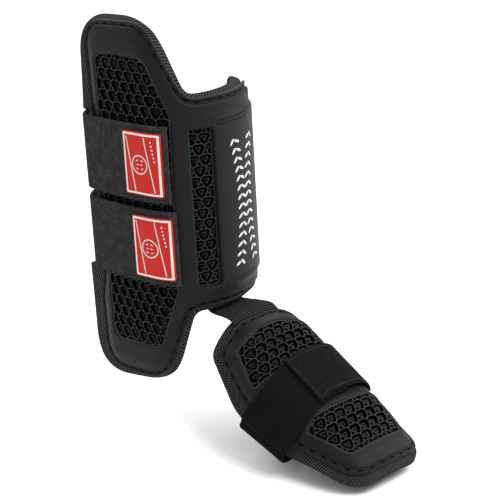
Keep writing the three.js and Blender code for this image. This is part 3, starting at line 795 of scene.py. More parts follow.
class Tree:
    """Builds a geometry node tree in plain calls."""

    def __init__(self, name, inputs):
        self.tree = bpy.data.node_groups.new(name, "GeometryNodeTree")
        face = self.tree.interface
        face.new_socket("Geometry", in_out="INPUT", socket_type="NodeSocketGeometry")
        face.new_socket("Geometry", in_out="OUTPUT", socket_type="NodeSocketGeometry")
        for label, kind, default in inputs:
            socket = face.new_socket(label, in_out="INPUT", socket_type=kind)
            if default is not None:
                socket.default_value = default
        self.start = self.tree.nodes.new("NodeGroupInput")

    def add(self, kind, settings=None, **links):
        node = self.tree.nodes.new(kind)
        for key, value in (settings or {}).items():
            setattr(node, key, value)
        for label, value in links.items():
            wanted = label.replace("_", " ")
            self.feed(next(s for s in node.inputs if s.name == wanted and s.enabled), value)
        return node

    def feed(self, socket, value):
        if isinstance(value, bpy.types.NodeSocket):
            self.tree.links.new(value, socket)
        else:
            socket.default_value = value

    def out(self, kind, settings=None, **links):
        """The first output of a new node."""
        return self.add(kind, settings, **links).outputs[0]

    def given(self, label):
        return self.start.outputs[label]

    def named(self, name, kind):
        return self.out("GeometryNodeInputNamedAttribute", {"data_type": kind}, Name=name)

    def sum(self, operation, a, b):
        node = self.add("ShaderNodeMath", {"operation": operation})
        for socket, value in zip(node.inputs, (a, b)):
            self.feed(socket, value)
        return node.outputs[0]

    def facing(self, along):
        """A turn that points Z out of the surface and X along a direction."""
        turn = self.add("FunctionNodeAxesToRotation", {"primary_axis": "Z", "secondary_axis": "X"})
        for socket, value in zip(turn.inputs, (self.named("out", "FLOAT_VECTOR"), along)):
            self.feed(socket, value)
        return turn.outputs[0]

    def scaled(self, geometry, x, y, z):
        size = self.out("ShaderNodeCombineXYZ", X=x, Y=y, Z=z)
        return self.out("GeometryNodeTransform", Geometry=geometry, Scale=size)

    def stood(self, points, shape, turn):
        """Ends the tree with a shape on every point."""
        laid = self.out("GeometryNodeInstanceOnPoints", Points=points, Instance=shape, Rotation=turn)
        return self.finish(laid)

    def finish(self, geometry, sunk=None):
        """Ends the tree with plain geometry in its finish, and with sunk faces in the painted shade of
        the pits.
        """
        real = self.out("GeometryNodeRealizeInstances", Geometry=geometry)
        painted = self.out("GeometryNodeSetMaterial", Geometry=real, Material=self.given("Material"))
        if sunk is not None:
            painted = self.out("GeometryNodeSetMaterial", Geometry=painted, Selection=sunk,
                               Material=self.given("Pit Painted Shade"))
        end = self.tree.nodes.new("NodeGroupOutput")
        self.tree.links.new(painted, end.inputs["Geometry"])
        return self.tree


def grow_nodes(obj, tree, values):
    """Runs a tree on an object and keeps the result as its plain mesh."""
    modifier = obj.modifiers.new(tree.name, "NODES")
    modifier.node_group = tree
    for item in tree.interface.items_tree:
        if item.in_out == "INPUT" and item.name in values:
            modifier[item.identifier] = values[item.name]
    graph = bpy.context.evaluated_depsgraph_get()
    mesh = bpy.data.meshes.new_from_object(obj.evaluated_get(graph))
    mesh.name = obj.name
    obj.modifiers.remove(modifier)
    obj.data = mesh
    return obj


def pit_tree():
    """Presses every marked face in: a chamfer, then a tapering wall and a floor, which take the painted
    shade of the pits.
    """
    tree = Tree("lattice_pits", [
        ("Chamfer", "NodeSocketFloat", 0.22 * MM), ("Taper", "NodeSocketFloat", 0.84),
        ("Material", "NodeSocketMaterial", None), ("Pit Painted Shade", "NodeSocketMaterial", None),
    ])
    pit = tree.named("pit", "FLOAT")
    marked = tree.sum("GREATER_THAN", pit, 0.0)

    def press(geometry, chosen, depth, scale):
        cut = tree.add("GeometryNodeExtrudeMesh", {"mode": "FACES"}, Mesh=geometry,
                       Selection=chosen, Offset_Scale=depth, Individual=True)
        mesh, top, side = (cut.outputs[label] for label in ("Mesh", "Top", "Side"))
        shrunk = tree.out("GeometryNodeScaleElements", {"domain": "FACE"}, Geometry=mesh,
                          Selection=top, Scale=scale)
        return shrunk, top, side

    chamfer = tree.given("Chamfer")
    start = tree.sum("MULTIPLY", chamfer, -1.0)
    body, top, _ = press(tree.given("Geometry"), marked, start, PIT_MOUTH)
    wall = tree.sum("SUBTRACT", chamfer, pit)
    body, floor, walls = press(body, top, wall, tree.given("Taper"))
    return tree.finish(body, tree.sum("MAXIMUM", walls, floor))


def ring_tree():
    """A thin triangle stood on each point, turned to the surface."""
    tree = Tree("lattice_rings", [
        ("Radius", "NodeSocketFloat", 2.35 * MM), ("Thickness", "NodeSocketFloat", 0.28 * MM),
        ("Tall", "NodeSocketFloat", 5.5), ("Material", "NodeSocketMaterial", None),
    ])
    points = tree.out("GeometryNodeMeshToPoints", {"mode": "VERTICES"}, Mesh=tree.given("Geometry"))
    path, rod = (
        tree.out("GeometryNodeCurvePrimitiveCircle", {"mode": "RADIUS"}, Resolution=sides,
                 Radius=tree.given(size))
        for sides, size in ((3, "Radius"), (6, "Thickness"))
    )
    swept = tree.out("GeometryNodeCurveToMesh", Curve=path, Profile_Curve=rod)
    shaped = tree.scaled(swept, 1.0, 1.0, tree.given("Tall"))
    return tree.stood(points, shaped, tree.facing(tree.named("point", "FLOAT_VECTOR")))


def stitch_tree():
    """Threads laid end to end along a path, each turned to the surface that it is sewn to."""
    measures = [(label, "NodeSocketFloat", None) for label in (*STITCH_MEASURES, "Slant")]
    tree = Tree("stitch_row", measures + [("Material", "NodeSocketMaterial", None)])
    curve = tree.out("GeometryNodeMeshToCurve", Mesh=tree.given("Geometry"))
    points = tree.add("GeometryNodeCurveToPoints", {"mode": "LENGTH"}, Curve=curve,
                      Length=tree.given("Step"))
    slant = tree.out("ShaderNodeCombineXYZ", Z=tree.given("Slant"))
    own = tree.out("FunctionNodeEulerToRotation", Euler=slant)
    spun = tree.out("FunctionNodeRotateRotation", {"rotation_space": "LOCAL"},
                    Rotation=tree.facing(points.outputs["Tangent"]), Rotate_By=own)
    ball = tree.out("GeometryNodeMeshUVSphere", Segments=8, Rings=6, Radius=0.5)
    shaped = tree.scaled(ball, *(tree.given(side) for side in STITCH_MEASURES[1:]))
    smooth = tree.out("GeometryNodeSetShadeSmooth", Geometry=shaped)
    return tree.stood(points.outputs[0], smooth, spun)


def give_directions(mesh, name, directions):
    """Gives each point of a mesh a direction."""
    layer = mesh.attributes.new(name, "FLOAT_VECTOR", "POINT")
    layer.data.foreach_set("vector", directions.astype(np.float32).ravel())


def stitches(name, paths, material, size, slant=0.0):
    """Rows of stitches along paths. A path is (places, directions out, closed)."""
    edges = []
    first = 0
    for points, _, closed in paths:
        edges += chain(first, len(points), closed)
        first += len(points)
    mesh = bpy.data.meshes.new(name)
    mesh.from_pydata([tuple(p) for points, _, _ in paths for p in points], edges, [])
    give_directions(mesh, "out", np.concatenate([out for _, out, _ in paths]))
    values = {label: part * MM for label, part in zip(STITCH_MEASURES, size)}
    values.update({"Slant": slant, "Material": material})
    return grow_nodes(placed(name, mesh), STITCH_TREE, values)


def on_sheet(bend, flat, out, closed):
    """A stitch path on a bent sheet at a height above the shell's back."""
    flat = np.asarray(flat, float)
    low = bend(raised(flat, out)) * MM
    high = bend(raised(flat, np.asarray(out) + 1.0)) * MM
    away = (high - low) / np.linalg.norm(high - low, axis=1)[:, None]
    return low, away, closed


def straight(points):
    """Evenly spaced points along straight pieces."""
    points = np.asarray(points, float)
    parts = []
    for p, q in zip(points[:-1], points[1:]):
        count = max(1, round(np.linalg.norm(q - p) / FINE))
        parts.append(p + (q - p) * np.linspace(0, 1, count, endpoint=False)[:, None])
    return np.concatenate(parts + [points[-1:]])


def columns(width, edge, count):
    """Places across a band from one edge to the other, close together at its rounded edges."""
    fine = EDGE_STEPS * edge
    middle = np.linspace(edge, width - edge, count)[1:-1]
    return np.concatenate([fine, middle, width - fine[::-1]]) - width / 2


def band(name, grid, across, thick, edge, material, ends=(True, True)):
    """A strap about rows of points: even thickness, rounded edges and rounded ends."""
    grid = np.asarray(grid, float)
    along = np.gradient(grid, axis=0)
    over = np.gradient(grid, axis=1)
    normal = np.cross(along, over)
    normal /= np.linalg.norm(normal, axis=2)[..., None]
    travel = lengths(grid[:, len(across) // 2], closed=False)
    side = np.minimum(across - across[0], across[-1] - across)[None, :]
    tip = np.full((len(grid), 1), np.inf)
    if ends[0]:
        tip = np.minimum(tip, travel[:, None])
    if ends[1]:
        tip = np.minimum(tip, (travel[-1] - travel)[:, None])
    share = np.clip(np.minimum(side, tip) / edge, 0, 1)
    half = thick / 2 * np.maximum(np.sqrt(1 - (1 - share) ** 2), LEAST_EDGE)
    rows, cols = half.shape
    lift = normal * half[..., None]
    places = np.concatenate([(grid + lift).reshape(-1, 3), (grid - lift).reshape(-1, 3)])
    over_at = np.arange(rows * cols).reshape(rows, cols)
    under_at = over_at + rows * cols
    faces = []
    cloth = []

    def quad(corners, marks, flip=False):
        turn = -1 if flip else 1
        faces.append([int(c) for c in corners][::turn])
        cloth.append([(travel[i], across[j]) for i, j in marks][::turn])

    def wall(here, there, flip):
        corners = [under_at[here], under_at[there], over_at[there], over_at[here]]
        quad(corners, [here, there, there, here], flip)

    for i in range(rows - 1):
        for j in range(cols - 1):
            marks = [(i, j), (i + 1, j), (i + 1, j + 1), (i, j + 1)]
            quad([over_at[mark] for mark in marks], marks)
            quad([under_at[mark] for mark in marks], marks, True)
        wall((i, 0), (i + 1, 0), False)
        wall((i, cols - 1), (i + 1, cols - 1), True)
    for j in range(cols - 1):
        wall((0, j), (0, j + 1), True)
        wall((rows - 1, j), (rows - 1, j + 1), False)
    return mesh_object(name, places * MM, faces, cloth, [0] * len(faces), [material])


def strap_fillet(out, ring):
    """Where a strap leaves the wing: a round bend that meets the circle round the calf."""
    axis = np.array([0.0, FAR_ARCS[0][0] - FRONT])
    low, high = STRAP_LEAVES
    for _ in range(40):
        middle = (low + high) / 2
        centre = shin([(middle, 0, out - STRAP_BEND)])[0, :2]
        if np.linalg.norm(centre - axis) < ring - STRAP_BEND:
            low = middle
        else:
            high = middle
    return low, centre, axis


def calf_strap_line(end):
    """Plan of a calf strap's mid-line, and how far it drops at each place, as a share."""
    ring_out = GAP + STRAP / 2
    wing_out = SHELL + GAP + STRAP / 2
    ring = FAR_ARCS[0][0] + ring_out
    leave_round, centre, axis = strap_fillet(wing_out, ring)
    leave = centre - axis
    far_end = -FAR_ARCS[0][0] * (2 * math.pi + math.atan2(leave[0], -leave[1]))
    rounds = np.linspace(STRAP_LAP, far_end, 90)
    back = shin(np.column_stack([rounds, 0 * rounds, 0 * rounds + ring_out]))[:, :2]
    drop = 1 - smoothstep(*STRAP_RISE, (rounds - STRAP_LAP) / (far_end - STRAP_LAP))
    wing_at = shin([(leave_round, 0, wing_out)])[0, :2] - centre
    start = math.atan2(leave[1], leave[0])
    turn = (math.atan2(wing_at[1], wing_at[0]) - start) % (2 * math.pi)
    angles = start + turn * np.linspace(0, 1, 14)[1:-1]
    bend = centre + STRAP_BEND * np.column_stack([np.cos(angles), np.sin(angles)])
    rounds = np.concatenate([np.linspace(leave_round, end + STRAP_TIP[0], 50), end + STRAP_TIP[1:]])
    front = shin(np.column_stack([rounds, 0 * rounds, 0 * rounds + wing_out]))[:, :2]
    level = np.zeros(len(bend) + len(front))
    return np.concatenate([back, bend, front]), np.concatenate([drop, level])


def calf_strap(strap, material):
    line, drop = calf_strap_line(strap["end"])
    across = columns(STRAP_WIDTH, STRAP_EDGE, 14)
    ups = strap["middle"] - STRAP_DROP * drop
    rows = [[(x, y, up + w) for w in across] for (x, y), up in zip(line, ups)]
    return band(f"calf_strap_{strap['name']}_cloth", rows, across, STRAP, STRAP_EDGE, material)


def webbing(material):
    """Elastic from inside the shin, under its rim and over the foot liner's rim to the foot shell."""
    half = WEBBING["thick"] / 2
    across = columns(WEBBING["width"], ELASTIC_EDGE, 22)
    ups = np.linspace(WEBBING["top"], WEBBING["rim"], 12)
    edge = outline(mirrored(FOOT_SHELL_HALF))
    edge = edge[edge[:, 1] < WEBBING["edge"]]
    edge = edge[np.argsort(edge[:, 0])]
    ends = np.interp(across, edge[:, 0], edge[:, 1]) - GAP
    inner = -LINER - 2 * GAP - half
    top = np.stack([shin([(WEBBING["middle"] - w, up, inner) for w in across]) for up in ups])
    pad = WEBBING["pad"]
    low = np.stack([
        foot([(w, pad + share * (end - pad), half) for w, end in zip(across, ends)])
        for share in np.linspace(0, 1, 6)
    ])
    start = top[-1]
    end = low[0]
    pull = WEBBING["pull"]
    t = np.linspace(0, 1, 30)[1:-1, None, None]
    bridge = ((1 - t) ** 3 * start + 3 * t * (1 - t) ** 2 * (start - [0, 0, pull])
              + 3 * t * t * (1 - t) * (end - pull * FOOT_ALONG) + t ** 3 * end)
    rows = np.concatenate([top, bridge, low])
    return band("instep_webbing_cloth", rows, across, WEBBING["thick"], ELASTIC_EDGE, material,
                ends=(True, False))


def foot_strap_line(near_turn, far_turn):
    """Mid-line of the foot strap seen along the foot, as places across it and out of its plane.

    It turns round the rim at one place on the wing's side and at another on the far side.
    """
    over_shell = SHELL + GAP + ELASTIC / 2
    middle = -LINER / 2 - GAP
    under = math.radians(FOOT_STRAP["under"])

    def strap_out(across, turn):
        drop = smoothstep(turn - RIM_DROP_BEFORE, turn + RIM_DROP_AFTER, np.abs(across))
        return over_shell - SHELL * drop

    def on_pad(across, out):
        x, y, heading = walk(FOOT_ARCS, np.abs(across))
        side = np.sign(across) * (x + out * np.sin(heading))
        return np.column_stack([side, out * np.cos(heading) - y])

    def rim_at(turn):
        radius = float(strap_out(turn, turn)) - middle
        centre = on_pad(np.array([-turn]), middle)[0]
        start = math.pi / 2 + float(walk(FOOT_ARCS, turn)[2])
        angles = np.linspace(start, 1.5 * math.pi - under, 14)
        return centre + radius * np.column_stack([np.cos(angles), np.sin(angles)])

    crest = np.linspace(FOOT_STRAP["tuck"], RIM_DROP_BEFORE - near_turn - RIM_CLEAR, 44)
    near = rim_at(near_turn)
    far = rim_at(far_turn)[::-1] * [-1, 1]
    turns = np.linspace(-under, under, 26)[1:-1]
    share = (np.sin(turns) / math.sin(under) + 1) / 2
    sole = (far[0, 0] - near[-1, 0]) / 2 / math.sin(under)
    below = near[-1] + share[:, None] * (far[0] - near[-1])
    below[:, 1] -= sole * (np.cos(turns) - math.cos(under))
    back = np.linspace(far_turn - RIM_DROP_BEFORE + RIM_CLEAR, far_turn - FOOT_STRAP["lap"], 6)
    return np.concatenate([
        on_pad(crest, strap_out(crest, near_turn)), near, below, far,
        on_pad(back, strap_out(back, far_turn)),
    ])


def strap_along(across):
    slant = smoothstep(0, FOOT_STRAP["slant_over"], -np.asarray(across))
    return FOOT_STRAP["middle"] + FOOT_STRAP["slant"] * slant


def foot_strap(material):
    across = columns(FOOT_STRAP["width"], ELASTIC_EDGE, 18)
    share = (across - across[0]) / (across[-1] - across[0])
    near = NEAR_TURNS[0] + share * (NEAR_TURNS[1] - NEAR_TURNS[0])
    far = FAR_TURNS[0] + share * (FAR_TURNS[1] - FAR_TURNS[0])
    lines = [foot_strap_line(*turns) for turns in zip(near, far)]
    rows = np.stack([
        foot_plane(line[:, 0], strap_along(line[:, 0]) + w, line[:, 1])
        for line, w in zip(lines, across)
    ], axis=1)
    return band("foot_strap_cloth", rows[:, ::-1], across, ELASTIC, ELASTIC_EDGE, material)


def foot_tab_out(across):
    base = SHELL + GAP + ELASTIC + GAP + FOOT_TAB["thick"] / 2
    return base - FOOT_TAB["drop"] * smoothstep(FOOT_TAB["drop_from"], FOOT_TAB["end"], across)


def foot_tab(material):
    across = columns(FOOT_TAB["width"], ELASTIC_EDGE, 16)
    start = FOOT_TAB["start"]
    end = FOOT_TAB["end"]
    between = np.linspace(start + TAB_TIP[-1], end - TAB_TIP[-1], 44)
    places = np.concatenate([start + TAB_TIP[:-1], between, end - TAB_TIP[-2::-1]])
    rows = np.stack([
        foot([(v, strap_along(v) + w, foot_tab_out(v)) for w in across]) for v in places
    ])
    return band("foot_strap_tab_cloth", rows, across, FOOT_TAB["thick"], ELASTIC_EDGE, material)


def label(strap, red, white):
    """A rubber patch with a thin edge, a raised border and a flat field, on a strap's free end."""
    mesh = Mesh()
    under = SHELL + GAP + STRAP + LABEL_LIFT
    corners = [
        (strap["label"] + i * LABEL_ROUND / 2, strap["middle"] + j * LABEL_TALL / 2, LABEL_CORNER)
        for i, j in QUAD
    ]
    rings = []
    for inset, rise, finish in LABEL_PROFILE:
        flat = outline(corners, -inset, FINE)
        ids = mesh.add(raised(flat, under + rise))
        if rings:
            mesh.strip(rings[-1][0], ids, lengths(flat), (0, 1), finish=finish)
        rings.append((ids, flat))
    fill(mesh, [rings[-1]], [], flat_height(under + LABEL_FIELD), LABEL_GRID)
    fill(mesh, [rings[0]], [], flat_height(under), LABEL_GRID, up=False)
    return mesh.made(f"label_{strap['name']}_patch", shin, [red, white])


def seam_rows(centre, height, reach, spread, level, shift=0.0):
    """Two rows on the shin that bow towards each other like a ball's seams, moved round by a shift."""
    up = np.linspace(-reach, reach, 60)
    bow = spread * (SEAM_WAIST + (1 - SEAM_WAIST) * (up / reach) ** 2)
    return [
        on_sheet(shin, np.column_stack([centre + shift + side * bow, height + up]), level, False)
        for side in (1, -1)
    ]


def label_motif(strap, level):
    """A stitched ball between two slanted lines, and a short row of dots, raised on a label."""
    name = strap["name"]
    middle = np.array([strap["label"], strap["middle"]])
    turns = np.linspace(0, 2 * math.pi, 48, endpoint=False)
    ring = middle + BALL_MIDDLE + BALL_RADIUS * np.column_stack([np.cos(turns), np.sin(turns)])
    lines = [on_sheet(shin, ring, level, True)]
    for offset in BALL_LINES:
        lines.append(on_sheet(shin, straight(middle + offset), level, False))
    seams = seam_rows(*(middle + BALL_MIDDLE), BALL_RADIUS * BALL_SEAM_REACH,
                      BALL_RADIUS * BALL_SEAM_SPREAD, level)
    dots = [on_sheet(shin, straight(middle + BALL_DOTS), level, False)]
    for part, paths, size, slant in (
        ("lines", lines, MOTIF_LINE, 0.0), ("seams", seams, MOTIF_SEAM, math.pi / 2),
        ("dots", dots, MOTIF_DOT, 0.0),
    ):
        piece(stitches(f"label_{name}_{part}", paths, WHITE_FINISH, size, slant), "red_rubber")


class Wire:
    """A shader value that takes part in Python sums."""

    def __init__(self, graph, socket):
        self.graph = graph
        self.socket = socket

    def math(self, operation, *values):
        return self.graph.add("ShaderNodeMath", {"operation": operation}, dict(enumerate(values)))

    def __add__(self, other):
        return self.math("ADD", self, other)

    def __radd__(self, other):
        return self.math("ADD", other, self)

    def __sub__(self, other):
        return self.math("SUBTRACT", self, other)

    def __rsub__(self, other):
        return self.math("SUBTRACT", other, self)

    def __mul__(self, other):
        return self.math("MULTIPLY", self, other)

    def __rmul__(self, other):
        return self.math("MULTIPLY", other, self)

    def __truediv__(self, other):
        return self.math("DIVIDE", self, other)

    def __pow__(self, other):
        return self.math("POWER", self, other)

    def floor(self):
        return self.math("FLOOR", self)

    def wave(self, pitch):
        """A ridge every pitch, from 0 between ridges to 1 on them."""
        return self.math("COSINE", self * (2 * math.pi / pitch)) * 0.5 + 0.5

    def above(self, low, high):
        """0 below the lower value and 1 above the higher one, smooth in between."""
        return self.graph.add("ShaderNodeMapRange", {"interpolation_type": "SMOOTHSTEP"}, {
            0: self, 1: low, 2: high, 3: 0.0, 4: 1.0,
        })


class Finish:
    """A material whose shader is built in plain calls."""

    def __init__(self, name):
        self.material = bpy.data.materials.new(name)
        self.material.use_nodes = True
        self.tree = self.material.node_tree
        self.shader = self.tree.nodes["Principled BSDF"]

    def add(self, kind, settings=None, inputs=None, output=0):
        node = self.tree.nodes.new(kind)
        for key, value in (settings or {}).items():
            setattr(node, key, value)
        for key, value in (inputs or {}).items():
            self.feed(node.inputs[key], value)
        return Wire(self, node.outputs[output])

    def feed(self, socket, value):
        if isinstance(value, Wire):
            self.tree.links.new(value.socket, socket)
        else:
            socket.default_value = value

    def place(self):
        return self.add("ShaderNodeTexCoord", output="Object")

    def cloth(self):
        """Places along and across the cloth, in millimetres."""
        uv = self.add("ShaderNodeUVMap", {"uv_map": "cloth"})
        parts = [self.add("ShaderNodeSeparateXYZ", inputs={0: uv}, output=i) for i in (0, 1)]
        return [part * 1000.0 for part in parts]

    def noise(self, size_mm, detail=2.0, rough=0.5):
        """Soft noise from 0 to 1 whose blots are about this size."""
        return self.add("ShaderNodeTexNoise", {"noise_dimensions": "3D"}, {
            "Vector": self.place(), "Scale": 1000.0 / size_mm, "Detail": detail, "Roughness": rough,
        })

    def between(self, low, high, share):
        """A colour between two, given by their six digits, by a share from 0 to 1."""
        inputs = {0: share, 6: (*linear(low), 1), 7: (*linear(high), 1)}
        return self.add("ShaderNodeMix", {"data_type": "RGBA"}, inputs, output=2)

    def bump(self, height, depth_mm, strength=1.0):
        inputs = {"Height": height, "Distance": depth_mm * MM, "Strength": strength}
        return self.add("ShaderNodeBump", None, inputs)

    def done(self, colour, roughness, normal, shine):
        values = {
            "Base Color": colour, "Roughness": roughness, "Normal": normal, "Specular IOR Level": shine,
        }
        for label, value in values.items():
            self.feed(self.shader.inputs[label], value)
        return self.material


def linear(hexadecimal):
    """A colour as the shader takes it, from its usual six digits."""
    parts = [int(hexadecimal[i:i + 2], 16) / 255 for i in (0, 2, 4)]
    return tuple(p / 12.92 if p < 0.04045 else ((p + 0.055) / 1.055) ** 2.4 for p in parts)


CLOTH_SHINE = 0.04  # how strongly cloth mirrors light


def moulded_black(name, low, high, rough, shine):
    """Moulded plastic with a fine grain and faint handling marks."""
    finish = Finish(name)
    grain = finish.noise(0.55, 3.0)
    cloud = finish.noise(38.0, 3.0)
    rub = finish.noise(7.0, 5.0, 0.65).above(0.55, 0.75)
    colour = finish.between(low, high, cloud * 0.8 + rub * 0.2)
    normal = finish.bump(grain, 0.05, 0.55)
    return finish.done(colour, rough + 0.08 * cloud - 0.06 * rub, normal, shine)


def ribbed_binding(name, pitch):
    """Diagonal ribs of the cloth that wraps a liner's edge, with the threads inside each rib. Rib crests
    are painted light and hollows near black: painted highlight and painted shade.
    """
    finish = Finish(name)
    along, across = finish.cloth()
    rib = (along + across * 0.6).wave(pitch)
    thread = (along - across * 1.3).wave(pitch * 0.35)
    patches = finish.noise(14.0, 3.0)
    fuzz = finish.noise(0.4, 2.0)
    # Painted highlight on the rib crests and painted shade in the hollows between, stronger in some
    # patches than in others
    share = rib ** 1.6 * (0.6 + 0.4 * patches) + thread * 0.1
    colour = finish.between("020202", "525254", share)
    normal = finish.bump(rib * 0.8 + thread * 0.22 + fuzz * 0.12, 0.8)
    return finish.done(colour, 0.78 + 0.1 * fuzz, normal, CLOTH_SHINE)


def spacer_mesh():
    """The liner's inner face: a knit with small round holes in three directions."""
    finish = Finish("spacer mesh")
    along, across = finish.cloth()
    turned = [along * math.cos(t) + across * math.sin(t) for t in (0, math.pi / 3, 2 * math.pi / 3)]
    weave = (turned[0].wave(1.9) + turned[1].wave(1.9) + turned[2].wave(1.9)) / 3.0
    hole = weave.above(0.62, 0.78)
    fuzz = finish.noise(0.5, 2.0)
    colour = finish.between("2c2c2e", "040405", hole)
    normal = finish.bump(1.0 - hole + 0.2 * fuzz, 0.45, 0.9)
    return finish.done(colour, 0.85 + 0.1 * fuzz, normal, CLOTH_SHINE)


def brushed_loop(name, low, high):
    """Brushed loop cloth: a short matted pile over faint lines along the strap."""
    finish = Finish(name)
    across = finish.cloth()[1]
    pile = finish.noise(0.9, 5.0, 0.75)
    mat = finish.noise(4.5, 4.0, 0.6)
    share = pile * 0.6 + mat * 0.4 + across.wave(2.4) * 0.02
    colour = finish.between(low, high, share.above(0.36, 0.68))
    normal = finish.bump(pile * 0.8 + mat * 0.3, 0.5, 0.9)
    return finish.done(colour, 0.86 + 0.1 * pile, normal, CLOTH_SHINE)


def ribbed_elastic(name, low, high, pitch, cross):
    """Elastic with ribs straight across it, broken by its lengthwise threads. Rib crests are painted
    light and the hollows near black: painted highlight and painted shade.
    """
    finish = Finish(name)
    along, across = finish.cloth()
    rib = along.wave(pitch)
    thread = (across + (along / pitch).floor() * (cross / 2)).wave(cross)
    patches = finish.noise(10.0, 3.0)
    # Painted highlight on the rib crests and painted shade between them, stronger in some patches; the
    # patches also vary the roughness
    share = rib * (0.75 + 0.25 * thread) * (0.75 + 0.4 * patches)
    colour = finish.between(low, high, share)
    normal = finish.bump(rib * 0.75 + thread * 0.25, 0.45)
    return finish.done(colour, 0.8 + 0.1 * patches, normal, CLOTH_SHINE)


def plain_finish(name, low, high, rough, bump_size=0.5, bump_depth=0.04, shine=0.3):
    """A plain rubber, thread or print with a little unevenness of colour and surface."""
    finish = Finish(name)
    grain = finish.noise(bump_size, 3.0)
    cloud = finish.noise(9.0, 3.0)
    colour = finish.between(low, high, cloud * 0.6 + grain * 0.4)
    normal = finish.bump(grain, bump_depth, 0.6)
    return finish.done(colour, rough + 0.1 * grain, normal, shine)


PIT_TREE = pit_tree()
STITCH_TREE = stitch_tree()
RING_TREE = ring_tree()

SHELL_FINISH = moulded_black("moulded shell", "111112", "181819", 0.5, 0.12)
# The groove and the slot lines take their own tone of the shell plastic, tuned to how these recesses
# look in shade: painted shade.
GROOVE_SHADE_FINISH = moulded_black("groove painted shade", "171718", "1e1e1f", 0.6, 0.09)
# One black moulding in two tones: all but the pits is painted lighter, a painted highlight for the lit
# webs and rings, and the pit walls and floors are painted near black, painted shade.
LATTICE_PAINTED_LIGHT_FINISH = moulded_black("moulded lattice painted light", "272728", "313132", 0.5, 0.12)
PIT_PAINTED_SHADE_FINISH = moulded_black("lattice pits painted shade", "030303", "070707", 0.6, 0.03)
SHIN_BINDING_FINISH = ribbed_binding("ribbed binding", 2.7)
FOOT_BINDING_FINISH = ribbed_binding("fine ribbed binding", 2.1)
MESH_FINISH = spacer_mesh()
STRAP_FINISH = brushed_loop("brushed loop strap", "1f1f20", "3a3a3b")
TAB_FINISH = brushed_loop("foot tab cloth", "0c0c0c", "171718")
WEBBING_FINISH = ribbed_elastic("webbing elastic", "020202", "3a3a3b", 2.0, 1.2)
FOOT_ELASTIC_FINISH = ribbed_elastic("foot strap elastic", "010101", "1b1b1c", 1.25, 1.1)
# Near-black dashes stand in for the shade in the groove's stitch holes.
STITCH_HOLE_SHADE_FINISH = plain_finish("stitch holes painted shade", "020202", "060606", 0.7, 0.3, 0.08, 0.05)
STRAP_THREAD_FINISH = plain_finish("strap thread", "0c0c0d", "161617", 0.7, 0.3, 0.08, 0.05)
PALE_THREAD_FINISH = plain_finish("grey thread", "2e2e30", "464649", 0.6, 0.3, 0.08, 0.1)
RED_FINISH = plain_finish("red rubber", "ae1f1b", "bd2722", 0.5, shine=0.12)
WHITE_FINISH = plain_finish("off-white rubber", "c8c6c2", "d8d7d4", 0.45)
PRINT_FINISH = plain_finish("pale grey print", "aeada9", "c2c1bd", 0.5)


def piece(obj, slot, *nodes):
    """Hangs a finished piece on the root body and hides the model's parts that it stands for. Its
    finish, slot, is not used.
    """
    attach(obj, ROOT)
    if nodes:
        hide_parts(*nodes)
    return obj


def cloth_sheet(obj):
    """Reads a strap's cloth places, which give its width and length; nothing is done with them."""
    marks = np.empty(len(obj.data.loops) * 2, np.float32)
    obj.data.uv_layers["cloth"].data.foreach_get("uv", marks)


def pit_depth(pits, room):
    """How deep a pit is, by its room to the ends or the edge of its window."""
    shallow, deeper, low, high = pits
    return shallow + deeper * float(smoothstep(low, high, room))


def lattice_piece(node, bend, window, face, down, depth):
    panel, rings = lattice(f"{node}_moulding", bend, window, face, down, depth)
    piece(panel, "moulded_lattice", node)
    piece(rings, "moulded_lattice")


def edge_stitches(name, bend, corners, narrow=()):
    """Near-black raised dashes in the groove round a shell, painted shade for its stitch holes."""
    seam = on_sheet(bend, outline(corners, -STITCH_INSET, FINE, narrow), STITCH_HEIGHT, True)
    piece(stitches(name, [seam], STITCH_HOLE_SHADE_FINISH, EDGE_STITCH), "moulded_shell")


def shin_guard():
    body = shell("shin_shell_moulding", shin, SHIN_SHEET, [WING_WINDOW, FRONT_WINDOW], SLOTS,
                 shin_height, [SHELL_FINISH, GROOVE_SHADE_FINISH], SHIN_GRID,
                 lambda a: smoothstep(*WING_CROWN, a), SHIN_NARROW)
    piece(body, "moulded_shell", "shin_shell")
    pad = liner("shin_liner_pad", shin, SHIN_LINER, [MESH_FINISH, SHIN_BINDING_FINISH], LINER_NOTCH)
    piece(pad, "mesh_fabric", "shin_liner")

    def wing_depth(place):
        return pit_depth(WING_PITS, min(WING_ENDS[1] - place[1], place[1] - WING_ENDS[0]))

    lattice_piece("wing_lattice", shin, WING_WINDOW, LATTICE_FACE, 1, wing_depth)
    lattice_piece("front_lattice", shin, FRONT_WINDOW, COLUMN_FACE, 1, lambda place: COLUMN_PIT)
    edge_stitches("shin_edge_stitches", shin, SHIN_SHEET, SHIN_NARROW)
    level = SHELL + PANEL_RISE + PRINT_LIFT
    for side, shift, slant in PRINT_ROWS:
        rows = seam_rows(*PRINT_MIDDLE, PRINT_REACH, PRINT_SPREAD, level, shift)
        ticks = stitches(f"panel_print_{side}", rows, PRINT_FINISH, PRINT_TICK, math.pi / 2 + slant)
        piece(ticks, "moulded_shell")


def calf_straps():
    for strap in CALF_STRAPS:
        name = strap["name"]
        cloth = calf_strap(strap, STRAP_FINISH)
        piece(cloth, "strap_fabric", f"calf_strap_{name}")
        cloth_sheet(cloth)
        patch = label(strap, RED_FINISH, WHITE_FINISH)
        piece(patch, "red_rubber", f"label_{name}")
        top = SHELL + GAP + STRAP
        start = strap["label"] + STRAP_SEAM["start"]
        end = strap["end"] + STRAP_SEAM["end"]
        high = strap["middle"] + STRAP_SEAM["half"]
        low = strap["middle"] - STRAP_SEAM["half"]
        box = straight([(end, high), (start, high), (start, low), (end, low)])
        sewn = on_sheet(shin, box, top, False)
        rows = stitches(f"calf_strap_{name}_stitches", [sewn], STRAP_THREAD_FINISH, STRAP_STITCH)
        piece(rows, "strap_fabric")
        label_motif(strap, top + LABEL_LIFT + LABEL_FIELD)


